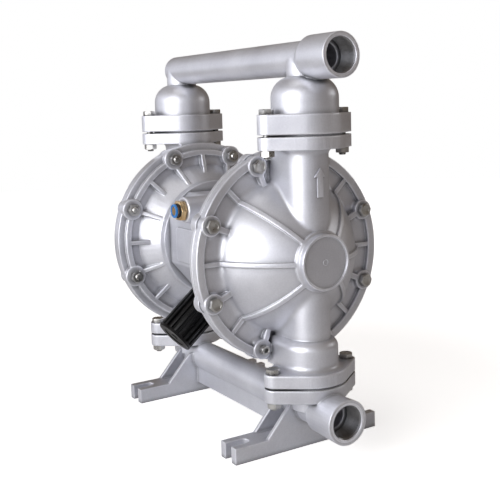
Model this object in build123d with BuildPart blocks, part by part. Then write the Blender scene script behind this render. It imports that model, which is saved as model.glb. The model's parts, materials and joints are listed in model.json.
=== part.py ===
from build123d import *
from math import cos, radians, sin, sqrt
import os

# Air operated double diaphragm pump with threaded 1 1/2 inch ports, in millimetres.
# The origin is on the floor, midway between the two pumping chambers. +X runs along the
# diaphragm rod to the ports, -Y is the side of the air inlet and the silencer, +Z is up.
# Each right-hand piece is drawn at +X and mirrored for the left.

# General arrangement
axis_height = 263.0  # diaphragm rod axis above the floor
port_offset = 176.0  # risers and manifold necks, from the middle
joint_plane = 124.0  # outer chamber to inner chamber, from the middle
seat_plane = 166.0  # chamber to manifold, above and below the rod axis
stroke = 15.0  # rod travel each way
stroke_end_gap = 3.0  # left between an inner plate and its chamber at the stroke's end
ball_lift = 14.0
ball_gap = 0.02  # ball above its seat at rest

# Chamber joint
flange_radius = 147.5
flange_face = 136.0
bolt_circle_radius = flange_radius - 12.5
bolt_count = 8
first_bolt_angle = 22.5
boss_radius = 14.0
boss_face = 138.5
rear_boss_radius = 16.0
rear_boss_face = 110.0
clamp_radius = bolt_circle_radius - 6.8  # recess that holds the diaphragm's edge
clamp_depth = 2.0

# Dome of the outer chamber
pocket_outer_radius = bolt_circle_radius + 1.0
pocket_floor = 130.0
dome_base_radius = bolt_circle_radius - 20.0
dome_start_radius = dome_base_radius - 8.0
cove_radius = 9.0
dome_knee = 138.0
dome_end = 204.0
dome_bulge = 7.0
dome_wall = 7.0
hub_boss_base_radius = 41.0
hub_boss_radius = 37.5
hub_boss_face = 218.0
hub_rim = 3.5
hub_recess = 2.5
rib_width = 6.5
rib_crest_start = 134.5
rib_crest_radius = dome_base_radius - 2.5
rib_crest_end = 207.0
rib_bulge = 9.0
wedge_width = 8.0
wedge_tip_radius = dome_start_radius

# Risers, ball bells and two-bolt flanges
upper_riser_radius = 30.0
lower_riser_radius = 28.0
riser_bore_radius = 21.0
bell_radius = 38.0
bell_top = 107.0
bell_shoulder = 13.0
flare = 8.0
cage_radius = 31.0
plate_thickness = 17.1
raised_face_radius = 48.0
raised_face = 1.4
plate_radius = 50.0
ear_radius = 15.0
ear_offset = 57.5
flange_bolt_offset = 60.5

# Ball valves
ball_radius = 25.4
seat_radius = 38.0
seat_bore_radius = 19.0
seat_half_height = 4.1
seal_section = 1.7
seal_radius = 34.5
seal_proud = 0.8
seat_clearance = 0.2

# Discharge manifold
discharge_height = 265.0  # pipe axis above the rod axis
discharge_pipe_radius = 22.8
discharge_collar_radius = 28.7
discharge_end = 257.0
discharge_plate = 26.1
discharge_bell_radius = 45.0
discharge_bell_side = 20.0
discharge_neck_radius = 23.5
pipe_bore_radius = 17.0
pipe_end_round = 12.0
collar_length = 58.0
collar_step = 12.0
port_minor_radius = 22.4
port_thread_length = 32.0

# Suction manifold and feet
suction_depth = 204.6  # pipe axis below the rod axis
suction_pipe_radius = 22.4
suction_collar_radius = 30.2
suction_end = 257.0
suction_plate = 18.1
suction_neck_radius = 28.5
foot_centre = 149.0
foot_width = 39.2
foot_reach = 117.5
foot_thickness = 22.4
slot_width = 15.6
slot_length = 31.0
gusset_thickness = 6.0
gusset_reach = 67.0
gusset_top_reach = 28.0
gusset_rise = 7.6  # above the pipe axis
beam_half_width = 15.0
beam_low = 16.0
beam_drop = 10.4  # top of the beam below the pipe axis, inside the pipe

# Inner chamber
hub_face = 77.0
hub_radius = 90.0
hub_edge = 13.0
dish_floor = 118.0
dish_outer_radius = bolt_circle_radius - 21.0
rim_inner_radius = bolt_circle_radius - 6.0
rim_outer_radius = bolt_circle_radius + 2.5
rim_face = 111.0
inner_flange_back = 117.0
inner_flange_radius = flange_radius + 0.5
inner_wall = 7.0
inner_rib_width = 6.0
short_rib_radius = (hub_radius + dish_outer_radius) / 2 - 1.0
hub_screw_circle = 62.0
hub_screw_count = 6
hub_screw_depth = 16.0

# Centre body
body_top = 75.0
body_top_half = 46.0
body_front = 80.0
body_front_top = 42.0
body_front_low = 30.0
body_bottom = 82.0
body_bottom_half = 36.0
body_round = 6.0
inlet_height = 58.0
inlet_boss_radius = 19.0
inlet_boss_reach = 95.0
panel_rise = 2.5
panel_half_length = 52.0
panel_top = 27.0
panel_low = -24.0
tunnel_radius = 14.0

# Rod, plates, diaphragms, bushes and seals
rod_radius = 12.5
stud_radius = 8.0
diaphragm_thickness = 4.0
plate_disc_thickness = 9.0
outer_hub_radius = 20.0
outer_hub_reach = 149.0
stud_reach = outer_hub_reach - 6.0
convolution_outer = dome_start_radius - dome_wall
convolution_inner = convolution_outer - 30.0
plate_disc_radius = convolution_inner - 4.0
convolution_depth = 7.0
bush_outer_radius = 20.0
bush_length = 20.0
seal_length = 4.0
running_clearance = 0.05

# Air valve on the far side
valve_half_length = 50.0
valve_low = -36.0
valve_high = 36.0
gasket_thickness = 2.0
valve_depth = 42.0
sleeve_outer_radius = 14.0
spool_radius = 10.0
spool_half_length = 37.0
spool_travel = 10.0
cap_thickness = 8.0
cap_half_size = 20.0
cap_screw_offset = 14.5
valve_screw_x = 40.0
valve_screw_z = 27.0
valve_screw_depth = 14.0
cap_plug = 4.0
cap_screw_depth = 12.0
sleeve_port_pitch = 22.0
sleeve_port_radius = 3.5
spool_waist_radius = 7.0
spool_land_pitch = 28.0

# Silencer
silencer_radius = 28.0
silencer_core_radius = 24.5
silencer_length = 77.0
silencer_reach = 91.0  # end face from the centre body's sloping face
silencer_nipple_radius = 13.2
silencer_ribs = 18
silencer_rib_width = 4.2
silencer_disc = 4.0
silencer_y = -48.3
nipple_depth = 12.0
silencer_boss_radius = 18.0
silencer_boss_rise = 3.0
silencer_boss_root = 15.0

# Push-in air fitting
fitting_thread_radius = 10.4
fitting_thread_length = 10.0
fitting_hex = 27.0
fitting_hex_height = 9.0
fitting_ring_radius = 10.4
fitting_neck_radius = 9.0
fitting_ring_height = 2.0
tube_radius = 6.05
tube_depth = 9.0
air_bore_radius = 4.5
collet_radius = 10.0
collet_height = 3.0
collet_gap = 1.8
collet_sleeve_radius = 7.5
collet_sleeve_length = 6.5

# M10 bolts and nuts; M8 and M5 socket screws
m10_radius = 5.0
m10_hole_radius = 5.5
m10_flats = 17.0
m10_head = 7.0
m10_nut = 8.4
m10_thread_out = 3.0
m8_radius = 4.0
m8_hole_radius = 4.5
m8_head_radius = 6.5
m8_head = 8.0
m8_key = 6.0
m5_radius = 2.5
m5_head_radius = 4.25
m5_head = 5.0
m5_key = 4.0
socket_bolts = (5, 6)  # places beside the lower bell, counted from the first bolt

# Datum planes and axes
pump_axis = Axis((0, 0, axis_height), (1, 0, 0))
axis_section = Plane(origin=(0, 0, axis_height), x_dir=(1, 0, 0), z_dir=(0, -1, 0))
riser_axis = Axis((port_offset, 0, 0), (0, 0, 1))
riser_section = Plane(origin=(port_offset, 0, axis_height), x_dir=(1, 0, 0), z_dir=(0, -1, 0))
bolt_angles = [first_bolt_angle + 360 / bolt_count * i for i in range(bolt_count)]
hex_bolt_angles = [angle for i, angle in enumerate(bolt_angles) if i not in socket_bolts]
socket_bolt_angles = [bolt_angles[i] for i in socket_bolts]
rib_angles = [0, 45, 135, 180, 225, 315]
port_places = [(port_offset, 0), (-port_offset, 0)]
flange_bolt_places = [
    (x, y) for x in (port_offset, -port_offset) for y in (-flange_bolt_offset, flange_bolt_offset)
]


def cross_plane(x):
    """Plane across the rod axis at x, with local x along +Y and local y up."""
    return Plane(origin=(x, 0, axis_height), x_dir=(0, 1, 0), z_dir=(1, 0, 0))


def radial_plane(angle):
    """Plane through the rod axis, with local x along +X and local y outwards at this angle."""
    return Plane(
        origin=(0, 0, axis_height),
        x_dir=(1, 0, 0),
        z_dir=(0, -sin(radians(angle)), cos(radians(angle))),
    )


def ring_places(angles, radius):
    """Local places on a circle about the rod axis, measured from +Y towards +Z."""
    return [(radius * cos(radians(angle)), radius * sin(radians(angle))) for angle in angles]


def level(height):
    """Horizontal plane at this height above the rod axis."""
    return Plane.XY.offset(axis_height + height)


def bulge_point(start, end, bulge):
    """Middle of an arc from start to end that stands out from its chord, away from the origin."""
    run, rise = end[0] - start[0], end[1] - start[1]
    chord = sqrt(run * run + rise * rise)
    return (
        (start[0] + end[0]) / 2 - bulge * rise / chord,
        (start[1] + end[1]) / 2 + bulge * run / chord,
    )


def inset(point, start, end, depth):
    """Point moved square to the chord from start to end, towards the origin."""
    run, rise = end[0] - start[0], end[1] - start[1]
    chord = sqrt(run * run + rise * rise)
    return (point[0] + depth * rise / chord, point[1] - depth * run / chord)


def u_section(radius):
    """Riser outline: round in front, with straight walls back to the chamber flange."""
    back = joint_plane + clamp_depth + 1
    with Locations((port_offset, 0)):
        Circle(radius)
    with Locations(((back + port_offset) / 2, 0)):
        Rectangle(port_offset - back, 2 * radius)


def two_bolt_outline():
    """Outline of a two-bolt flange centred on the local origin, with its ears along Y."""
    Circle(plate_radius)
    with Locations((0, ear_offset), (0, -ear_offset)):
        Circle(ear_radius)
    make_hull()


def write(piece, name):
    """Label a finished sub-part and write its STEP file."""
    piece.part.label = name
    export_step(piece.part, f"parts/{name}.step")


os.makedirs("parts", exist_ok=True)

# Ball valve geometry shared by chambers, manifolds, seats and balls
ball_rest = sqrt(ball_radius**2 - seat_bore_radius**2)
cage_ceiling = seat_half_height + ball_rest + ball_lift + sqrt(ball_radius**2 - riser_bore_radius**2) + 0.2
discharge_stop = sqrt(ball_radius**2 - pipe_bore_radius**2)  # ball centre below the bore's edge at full lift
discharge_ceiling = seat_half_height + ball_rest + ball_lift + discharge_stop + 0.2
seat_pocket_radius = seat_radius + seat_clearance
seat_bed = seat_half_height  # pocket below a seat
seat_cover = seat_half_height + seal_proud  # pocket above a seat, which presses on its seal

# Outer chamber: dome, ribbed pockets, two risers and two flanges in one casting
dome_start_point = (dome_knee, dome_start_radius)
dome_end_point = (dome_end, hub_boss_base_radius)
crest_start_point = (rib_crest_start, rib_crest_radius)
crest_end_point = (rib_crest_end, hub_boss_base_radius)
riser_height = seat_plane - raised_face - plate_thickness

with BuildPart() as bell_form:
    with BuildSketch(level(-riser_height)):
        u_section(bell_radius)
    extrude(amount=riser_height - bell_top)
    fillet(bell_form.edges().group_by(Axis.Z)[-1], radius=bell_shoulder)

with BuildPart() as outer_chamber_right:
    with BuildSketch(axis_section):
        with BuildLine():
            Polyline(
                (joint_plane, 0),
                (joint_plane, flange_radius),
                (flange_face, flange_radius),
                (flange_face, pocket_outer_radius),
                (pocket_floor, pocket_outer_radius),
                (pocket_floor, dome_base_radius),
            )
            RadiusArc((pocket_floor, dome_base_radius), dome_start_point, -cove_radius)
            ThreePointArc(
                dome_start_point,
                bulge_point(dome_start_point, dome_end_point, dome_bulge),
                dome_end_point,
            )
            Polyline(
                dome_end_point,
                (rib_crest_end, hub_boss_base_radius),
                (rib_crest_end + 3, hub_boss_radius),
                (hub_boss_face, hub_boss_radius),
                (hub_boss_face, hub_boss_radius - hub_rim),
                (hub_boss_face - hub_recess, hub_boss_radius - hub_rim),
                (hub_boss_face - hub_recess, 0),
                (joint_plane, 0),
            )
        make_face()
    revolve(axis=pump_axis)
    with BuildSketch(cross_plane(joint_plane)):
        with PolarLocations(bolt_circle_radius, bolt_count, start_angle=first_bolt_angle):
            Circle(boss_radius)
    extrude(amount=boss_face - joint_plane)
    for angle in rib_angles:
        with BuildSketch(radial_plane(angle)):
            with BuildLine():
                Polyline(
                    (pocket_floor - 1, dome_start_radius - dome_wall / 2),
                    (pocket_floor - 1, pocket_outer_radius + 2),
                    (rib_crest_start, pocket_outer_radius + 2),
                    crest_start_point,
                )
                ThreePointArc(
                    crest_start_point,
                    bulge_point(crest_start_point, crest_end_point, rib_bulge),
                    crest_end_point,
                )
                Polyline(
                    crest_end_point,
                    inset(dome_end_point, dome_start_point, dome_end_point, dome_wall / 2),
                    (pocket_floor - 1, dome_start_radius - dome_wall / 2),
                )
            make_face()
        extrude(amount=rib_width / 2, both=True)
    for angle in bolt_angles:
        with BuildSketch(radial_plane(angle)):
            Polygon(
                (pocket_floor - 1, dome_start_radius - dome_wall / 2),
                (pocket_floor - 1, bolt_circle_radius - boss_radius / 2),
                (boss_face, bolt_circle_radius - boss_radius / 2),
                (boss_face, wedge_tip_radius),
                align=None,
            )
        extrude(amount=wedge_width / 2, both=True)
    with BuildSketch(level(0)):
        u_section(upper_riser_radius)
    extrude(amount=riser_height)
    with BuildSketch(level(0)):
        u_section(lower_riser_radius)
    extrude(amount=-riser_height)
    add(bell_form.part)
    for side, radius in ((1, upper_riser_radius), (-1, bell_radius)):
        with BuildSketch(riser_section):
            with BuildLine():
                Polyline(
                    (radius, side * riser_height),
                    (radius - 2, side * riser_height),
                    (radius - 2, side * (riser_height - flare)),
                    (radius, side * (riser_height - flare)),
                )
                RadiusArc(
                    (radius, side * (riser_height - flare)),
                    (radius + flare, side * riser_height),
                    side * flare,
                )
                Line((radius + flare, side * riser_height), (radius, side * riser_height))
            make_face()
        revolve(axis=riser_axis)
    for base in (riser_height, -riser_height - plate_thickness):
        with BuildSketch(level(base).move(Location((port_offset, 0, 0)))):
            two_bolt_outline()
        extrude(amount=plate_thickness)
    for base in (seat_plane - raised_face, -seat_plane):
        with BuildSketch(level(base)):
            with Locations((port_offset, 0)):
                Circle(raised_face_radius)
        extrude(amount=raised_face)
    # pumping cavity, parallel to the dome
    with BuildSketch(axis_section):
        with BuildLine():
            cavity_start = inset(dome_start_point, dome_start_point, dome_end_point, dome_wall)
            cavity_end = inset(dome_end_point, dome_start_point, dome_end_point, dome_wall)
            Polyline(
                (joint_plane - 1, 0),
                (joint_plane - 1, clamp_radius),
                (joint_plane + clamp_depth, clamp_radius),
                (joint_plane + clamp_depth, cavity_start[1]),
                cavity_start,
            )
            ThreePointArc(cavity_start, bulge_point(cavity_start, cavity_end, dome_bulge), cavity_end)
            Polyline(
                cavity_end,
                (hub_boss_face - hub_recess - dome_wall, hub_boss_radius - dome_wall),
                (hub_boss_face - hub_recess - dome_wall, 0),
                (joint_plane - 1, 0),
            )
        make_face()
    revolve(axis=pump_axis, mode=Mode.SUBTRACT)
    # riser bores, ball cage below and seat pockets at both ends
    with BuildSketch(level(-seat_plane)):
        with Locations((port_offset, 0)):
            Circle(riser_bore_radius)
    extrude(amount=2 * seat_plane, mode=Mode.SUBTRACT)
    with BuildSketch(level(-seat_plane)):
        with Locations((port_offset, 0)):
            Circle(cage_radius)
    extrude(amount=cage_ceiling, mode=Mode.SUBTRACT)
    for base, depth in ((-seat_plane, seat_cover), (seat_plane - seat_bed, seat_bed)):
        with BuildSketch(level(base)):
            with Locations((port_offset, 0)):
                Circle(seat_pocket_radius)
        extrude(amount=depth, mode=Mode.SUBTRACT)
    # bolt and screw holes
    with BuildSketch(cross_plane(joint_plane)):
        with Locations(*ring_places(hex_bolt_angles, bolt_circle_radius)):
            Circle(m10_hole_radius)
        with Locations(*ring_places(socket_bolt_angles, bolt_circle_radius)):
            Circle(m8_hole_radius)
    extrude(amount=boss_face - joint_plane, mode=Mode.SUBTRACT)
    for base in (riser_height, -riser_height - plate_thickness):
        with BuildSketch(level(base)):
            with Locations((port_offset, flange_bolt_offset), (port_offset, -flange_bolt_offset)):
                Circle(m10_hole_radius)
        extrude(amount=plate_thickness, mode=Mode.SUBTRACT)

with BuildPart() as outer_chamber_left:
    mirror(outer_chamber_right.part, about=Plane.YZ)

write(outer_chamber_right, "outer_chamber_right")
write(outer_chamber_left, "outer_chamber_left")

# Inner chamber: spoked dish between the chamber joint and the centre body
half_diaphragm = diaphragm_thickness / 2
inner_plate_face = joint_plane - half_diaphragm - plate_disc_thickness
cavity_floor = inner_plate_face - stroke - stroke_end_gap
hub_back = hub_face + hub_edge
cone_slope = (dish_outer_radius - hub_radius) / (dish_floor - hub_back)
cone_wall = inner_wall * sqrt(1 + cone_slope**2)
bed_face = joint_plane - clamp_depth


def cone_radius(x):
    """Outer radius of the dish's cone at this distance from the middle."""
    return hub_radius + (x - hub_back) * cone_slope


with BuildPart() as inner_chamber_right:
    with BuildSketch(axis_section):
        Polygon(
            (hub_face, 0),
            (hub_face, hub_radius),
            (hub_back, hub_radius),
            (dish_floor, dish_outer_radius),
            (dish_floor, rim_inner_radius),
            (rim_face, rim_inner_radius),
            (rim_face, rim_outer_radius),
            (inner_flange_back, rim_outer_radius),
            (inner_flange_back, inner_flange_radius),
            (joint_plane, inner_flange_radius),
            (joint_plane, 0),
            align=None,
        )
    revolve(axis=pump_axis)
    with BuildSketch(cross_plane(rear_boss_face)):
        with PolarLocations(bolt_circle_radius, bolt_count, start_angle=first_bolt_angle):
            Circle(rear_boss_radius)
    extrude(amount=joint_plane - rear_boss_face)
    for index in range(2 * bolt_count):
        long_rib = index % 2 == 1
        crest_start_radius = bolt_circle_radius - rear_boss_radius if long_rib else rim_inner_radius
        crest_start = (rim_face, crest_start_radius + 2)
        crest_end_radius = hub_radius + 1 if long_rib else short_rib_radius
        crest_end_x = hub_back + (crest_end_radius - hub_radius) / cone_slope
        with BuildSketch(radial_plane(index * first_bolt_angle)):
            Polygon(
                crest_start,
                (crest_end_x, crest_end_radius),
                (crest_end_x + inner_wall / 2, crest_end_radius),
                (dish_floor + 1, dish_outer_radius - 2),
                (dish_floor + 1, crest_start[1]),
                align=None,
            )
        extrude(amount=inner_rib_width / 2, both=True)
    # air cavity, clamping recess and rod hole
    with BuildSketch(axis_section):
        Polygon(
            (joint_plane + 1, 0),
            (joint_plane + 1, clamp_radius),
            (bed_face, clamp_radius),
            (bed_face, cone_radius(bed_face) - cone_wall),
            (cavity_floor, cone_radius(cavity_floor) - cone_wall),
            (cavity_floor, tunnel_radius),
            (hub_face, tunnel_radius),
            (hub_face, 0),
            align=None,
        )
    revolve(axis=pump_axis, mode=Mode.SUBTRACT)
    with BuildSketch(cross_plane(rear_boss_face)):
        with Locations(*ring_places(hex_bolt_angles, bolt_circle_radius)):
            Circle(m10_hole_radius)
        with Locations(*ring_places(socket_bolt_angles, bolt_circle_radius)):
            Circle(m8_radius)
    extrude(amount=joint_plane - rear_boss_face, mode=Mode.SUBTRACT)
    with BuildSketch(cross_plane(cavity_floor)):
        with PolarLocations(hub_screw_circle, hub_screw_count):
            Circle(m8_radius)
    extrude(amount=hub_face - cavity_floor, mode=Mode.SUBTRACT)
    with BuildSketch(cross_plane(cavity_floor)):
        with PolarLocations(hub_screw_circle, hub_screw_count):
            Circle(m8_head_radius)
    extrude(amount=-m8_head, mode=Mode.SUBTRACT)

with BuildPart() as inner_chamber_left:
    mirror(inner_chamber_right.part, about=Plane.YZ)

write(inner_chamber_right, "inner_chamber_right")
write(inner_chamber_left, "inner_chamber_left")

# Centre body: block between the inner chambers, with the rod tunnel and the air ports
slope_run = body_front - body_bottom_half
slope_drop = body_bottom - body_front_low
silencer_z = -body_front_low - (silencer_y + body_front) * slope_drop / slope_run
silencer_plane = Plane(
    origin=(0, silencer_y, axis_height + silencer_z), x_dir=(1, 0, 0), z_dir=(0, -slope_drop, -slope_run)
)
inlet_plane = Plane(
    origin=(0, -inlet_boss_reach, axis_height + inlet_height), x_dir=(1, 0, 0), z_dir=(0, -1, 0)
)
front_plane = Plane(origin=(0, -body_front, axis_height), x_dir=(1, 0, 0), z_dir=(0, -1, 0))
back_plane = Plane(origin=(0, body_front, axis_height), x_dir=(1, 0, 0), z_dir=(0, -1, 0))
valve_screw_places = [
    (x, z) for x in (-valve_screw_x, valve_screw_x) for z in (-valve_screw_z, valve_screw_z)
]

with BuildPart() as center_body:
    with BuildSketch(cross_plane(-hub_face)):
        Polygon(
            (-body_top_half, body_top),
            (-body_front, body_front_top),
            (-body_front, -body_front_low),
            (-body_bottom_half, -body_bottom),
            (body_bottom_half, -body_bottom),
            (body_front, -body_front_low),
            (body_front, body_front_top),
            (body_top_half, body_top),
            align=None,
        )
    extrude(amount=2 * hub_face)
    fillet(center_body.edges().filter_by(Axis.X), radius=body_round)
    with BuildSketch(front_plane):
        with Locations((0, (panel_top + panel_low) / 2)):
            RectangleRounded(2 * panel_half_length, panel_top - panel_low, body_round)
    extrude(amount=panel_rise)
    with BuildSketch(inlet_plane):
        Circle(inlet_boss_radius)
    extrude(amount=-inlet_boss_reach / 2)
    fillet(center_body.faces().sort_by(Axis.Y)[0].outer_wire().edges(), radius=2)
    with BuildSketch(silencer_plane.offset(-silencer_boss_root)):
        Circle(silencer_boss_radius)
    extrude(amount=silencer_boss_root + silencer_boss_rise)
    # rod tunnel with its bush seats
    with BuildSketch(cross_plane(-hub_face)):
        Circle(tunnel_radius)
    extrude(amount=2 * hub_face, mode=Mode.SUBTRACT)
    for base in (-hub_face, hub_face - bush_length - seal_length):
        with BuildSketch(cross_plane(base)):
            Circle(bush_outer_radius)
        extrude(amount=bush_length + seal_length, mode=Mode.SUBTRACT)
    for base, depth in ((-hub_face, hub_screw_depth), (hub_face, -hub_screw_depth)):
        with BuildSketch(cross_plane(base)):
            with PolarLocations(hub_screw_circle, hub_screw_count):
                Circle(m8_radius)
        extrude(amount=depth, mode=Mode.SUBTRACT)
    # air inlet, silencer port and air valve screws
    with BuildSketch(inlet_plane):
        Circle(fitting_thread_radius)
    extrude(amount=-fitting_thread_length, mode=Mode.SUBTRACT)
    with BuildSketch(inlet_plane):
        Circle(air_bore_radius)
    extrude(amount=-inlet_boss_reach / 2, mode=Mode.SUBTRACT)
    with BuildSketch(silencer_plane.offset(silencer_boss_rise)):
        Circle(silencer_nipple_radius)
    extrude(amount=-silencer_boss_rise - nipple_depth, mode=Mode.SUBTRACT)
    with BuildSketch(back_plane):
        with Locations(*valve_screw_places):
            Circle(m8_radius)
    extrude(amount=valve_screw_depth, mode=Mode.SUBTRACT)

write(center_body, "center_body")

# Discharge manifold: two ball bells under one pipe, threaded at the right-hand end
bell_shoulder_height = seat_plane + raised_face + discharge_plate + discharge_bell_side
bell_round = discharge_height - discharge_pipe_radius - bell_shoulder_height
discharge_axis = Axis((0, 0, axis_height + discharge_height), (1, 0, 0))

with BuildPart() as bell_top_form:
    with BuildSketch(riser_section):
        with BuildLine():
            Polyline(
                (0, bell_shoulder_height + bell_round),
                (0, seat_plane + raised_face),
                (discharge_bell_radius, seat_plane + raised_face),
                (discharge_bell_radius, bell_shoulder_height),
            )
            RadiusArc(
                (discharge_bell_radius, bell_shoulder_height),
                (discharge_bell_radius - bell_round, bell_shoulder_height + bell_round),
                -bell_round,
            )
            Line(
                (discharge_bell_radius - bell_round, bell_shoulder_height + bell_round),
                (0, bell_shoulder_height + bell_round),
            )
        make_face()
    revolve(axis=riser_axis)
    with BuildSketch(level(bell_shoulder_height)):
        with Locations((port_offset, 0)):
            Circle(discharge_neck_radius)
    extrude(amount=discharge_height - bell_shoulder_height)
    with BuildSketch(level(seat_plane + raised_face).move(Location((port_offset, 0, 0)))):
        two_bolt_outline()
    extrude(amount=discharge_plate)
    with BuildSketch(level(seat_plane)):
        with Locations((port_offset, 0)):
            Circle(raised_face_radius)
    extrude(amount=raised_face)

with BuildPart() as discharge_manifold:
    with BuildSketch(Plane.YZ.offset(-port_offset - discharge_pipe_radius)):
        with Locations((0, axis_height + discharge_height)):
            Circle(discharge_pipe_radius)
    extrude(amount=port_offset + discharge_pipe_radius + discharge_end)
    fillet(discharge_manifold.edges().sort_by(Axis.X)[0], radius=pipe_end_round)
    with BuildSketch(Plane.XZ):
        with Locations((0, axis_height + discharge_height)):
            Polygon(
                (discharge_end - collar_length - collar_step, 0),
                (discharge_end - collar_length - collar_step, discharge_pipe_radius),
                (discharge_end - collar_length, discharge_collar_radius),
                (discharge_end, discharge_collar_radius),
                (discharge_end, 0),
                align=None,
            )
    revolve(axis=discharge_axis)
    add(bell_top_form.part)
    mirror(bell_top_form.part, about=Plane.YZ)
    # pipe bore, port, ball cages and seat pockets
    with BuildSketch(Plane.YZ.offset(discharge_end)):
        with Locations((0, axis_height + discharge_height)):
            Circle(pipe_bore_radius)
    extrude(amount=-discharge_end - port_offset, mode=Mode.SUBTRACT)
    with BuildSketch(Plane.YZ.offset(discharge_end)):
        with Locations((0, axis_height + discharge_height)):
            Circle(port_minor_radius)
    extrude(amount=-port_thread_length, mode=Mode.SUBTRACT)
    with BuildSketch(level(seat_plane)):
        with Locations(*port_places):
            Circle(pipe_bore_radius)
    extrude(amount=discharge_height - seat_plane, mode=Mode.SUBTRACT)
    with BuildSketch(level(seat_plane)):
        with Locations(*port_places):
            Circle(cage_radius)
    extrude(amount=discharge_ceiling, mode=Mode.SUBTRACT)
    with BuildSketch(level(seat_plane)):
        with Locations(*port_places):
            Circle(seat_pocket_radius)
    extrude(amount=seat_cover, mode=Mode.SUBTRACT)
    with BuildSketch(level(seat_plane)):
        with Locations(*flange_bolt_places):
            Circle(m10_hole_radius)
    extrude(amount=raised_face + discharge_plate, mode=Mode.SUBTRACT)

write(discharge_manifold, "discharge_manifold")

# Suction manifold: two flanged necks on one pipe, with the feet and the beam between them
suction_axis = Axis((0, 0, axis_height - suction_depth), (1, 0, 0))
pipe_level = axis_height - suction_depth
gusset_top = pipe_level + gusset_rise
beam_high = pipe_level - beam_drop
gusset_offset = foot_width / 2 - gusset_thickness / 2

with BuildPart() as suction_manifold:
    with BuildSketch(Plane.YZ.offset(-port_offset - suction_pipe_radius)):
        with Locations((0, pipe_level)):
            Circle(suction_pipe_radius)
    extrude(amount=port_offset + suction_pipe_radius + suction_end)
    fillet(suction_manifold.edges().sort_by(Axis.X)[0], radius=pipe_end_round)
    with BuildSketch(Plane.XZ):
        Polygon(
            (suction_end - collar_length, pipe_level),
            (suction_end - collar_length, pipe_level + suction_pipe_radius),
            (suction_end - collar_length + collar_step / 3, pipe_level + suction_collar_radius - 2),
            (suction_end, pipe_level + suction_collar_radius),
            (suction_end, pipe_level),
            align=None,
        )
    revolve(axis=suction_axis)
    with BuildSketch(level(-suction_depth)):
        with Locations(*port_places):
            Circle(suction_neck_radius)
    extrude(amount=suction_depth - seat_plane - raised_face)
    for place in port_places:
        with BuildSketch(level(-seat_plane - raised_face - suction_plate).move(Location((*place, 0)))):
            two_bolt_outline()
        extrude(amount=suction_plate)
    with BuildSketch(level(-seat_plane - raised_face)):
        with Locations(*port_places):
            Circle(raised_face_radius)
    extrude(amount=raised_face)
    # feet with slots open to their tips, gussets up to the pipe, and the beam
    with BuildSketch():
        with Locations((foot_centre, 0), (-foot_centre, 0)):
            Rectangle(foot_width, 2 * foot_reach)
    extrude(amount=foot_thickness)
    with BuildSketch():
        for side in (1, -1):
            with Locations((foot_centre, side * foot_reach), (-foot_centre, side * foot_reach)):
                SlotOverall(2 * slot_length, slot_width, rotation=90)
    extrude(amount=foot_thickness, mode=Mode.SUBTRACT)
    for x in (-foot_centre - gusset_offset, -foot_centre + gusset_offset,
              foot_centre - gusset_offset, foot_centre + gusset_offset):
        with BuildSketch(Plane.YZ.offset(x)):
            Polygon(
                (-gusset_reach, foot_thickness / 2),
                (-gusset_reach, foot_thickness),
                (-gusset_top_reach, gusset_top),
                (gusset_top_reach, gusset_top),
                (gusset_reach, foot_thickness),
                (gusset_reach, foot_thickness / 2),
                align=None,
            )
        extrude(amount=gusset_thickness / 2, both=True)
    with BuildSketch(Plane.XY.offset(beam_low)):
        Rectangle(2 * foot_centre - foot_width + 1, 2 * beam_half_width)
    extrude(amount=beam_high - beam_low)
    # bores
    with BuildSketch(Plane.YZ.offset(suction_end)):
        with Locations((0, pipe_level)):
            Circle(pipe_bore_radius)
    extrude(amount=-suction_end - port_offset, mode=Mode.SUBTRACT)
    with BuildSketch(Plane.YZ.offset(suction_end)):
        with Locations((0, pipe_level)):
            Circle(port_minor_radius)
    extrude(amount=-port_thread_length, mode=Mode.SUBTRACT)
    with BuildSketch(level(-suction_depth)):
        with Locations(*port_places):
            Circle(pipe_bore_radius)
    extrude(amount=suction_depth - seat_plane, mode=Mode.SUBTRACT)
    with BuildSketch(level(-seat_plane - seat_bed)):
        with Locations(*port_places):
            Circle(seat_pocket_radius)
    extrude(amount=seat_bed, mode=Mode.SUBTRACT)
    with BuildSketch(level(-seat_plane)):
        with Locations(*flange_bolt_places):
            Circle(m10_hole_radius)
    extrude(amount=-raised_face - suction_plate, mode=Mode.SUBTRACT)

write(suction_manifold, "suction_manifold")

# Ball valves: seat ring, seal ring and ball at each end of each riser
for valve_name, seat_height in (("suction", -seat_plane), ("discharge", seat_plane)):
    for side_name, x in (("right", port_offset), ("left", -port_offset)):
        seat_place = Plane(origin=(x, 0, axis_height + seat_height), x_dir=(1, 0, 0), z_dir=(0, 0, 1))
        seat_section = Plane(origin=(x, 0, axis_height + seat_height), x_dir=(1, 0, 0), z_dir=(0, -1, 0))
        with BuildPart() as ball_seat:
            with BuildSketch(seat_place.offset(-seat_half_height)):
                Circle(seat_radius)
                Circle(seat_bore_radius, mode=Mode.SUBTRACT)
            extrude(amount=2 * seat_half_height)
            with BuildSketch(seat_place.offset(seat_half_height)):
                Circle(seal_radius + seal_section)
                Circle(seal_radius - seal_section, mode=Mode.SUBTRACT)
            extrude(amount=-2 * seal_section + seal_proud, mode=Mode.SUBTRACT)
        with BuildPart() as seat_seal:
            with BuildSketch(seat_section):
                with Locations((seal_radius, seat_half_height + seal_proud - seal_section)):
                    Circle(seal_section)
            revolve(axis=Axis((x, 0, 0), (0, 0, 1)))
        with BuildPart() as valve_ball:
            with Locations((x, 0, axis_height + seat_height + seat_half_height + ball_rest + ball_gap)):
                Sphere(ball_radius)
        write(ball_seat, f"{valve_name}_seat_{side_name}")
        write(seat_seal, f"{valve_name}_seat_seal_{side_name}")
        write(valve_ball, f"{valve_name}_ball_{side_name}")

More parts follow.
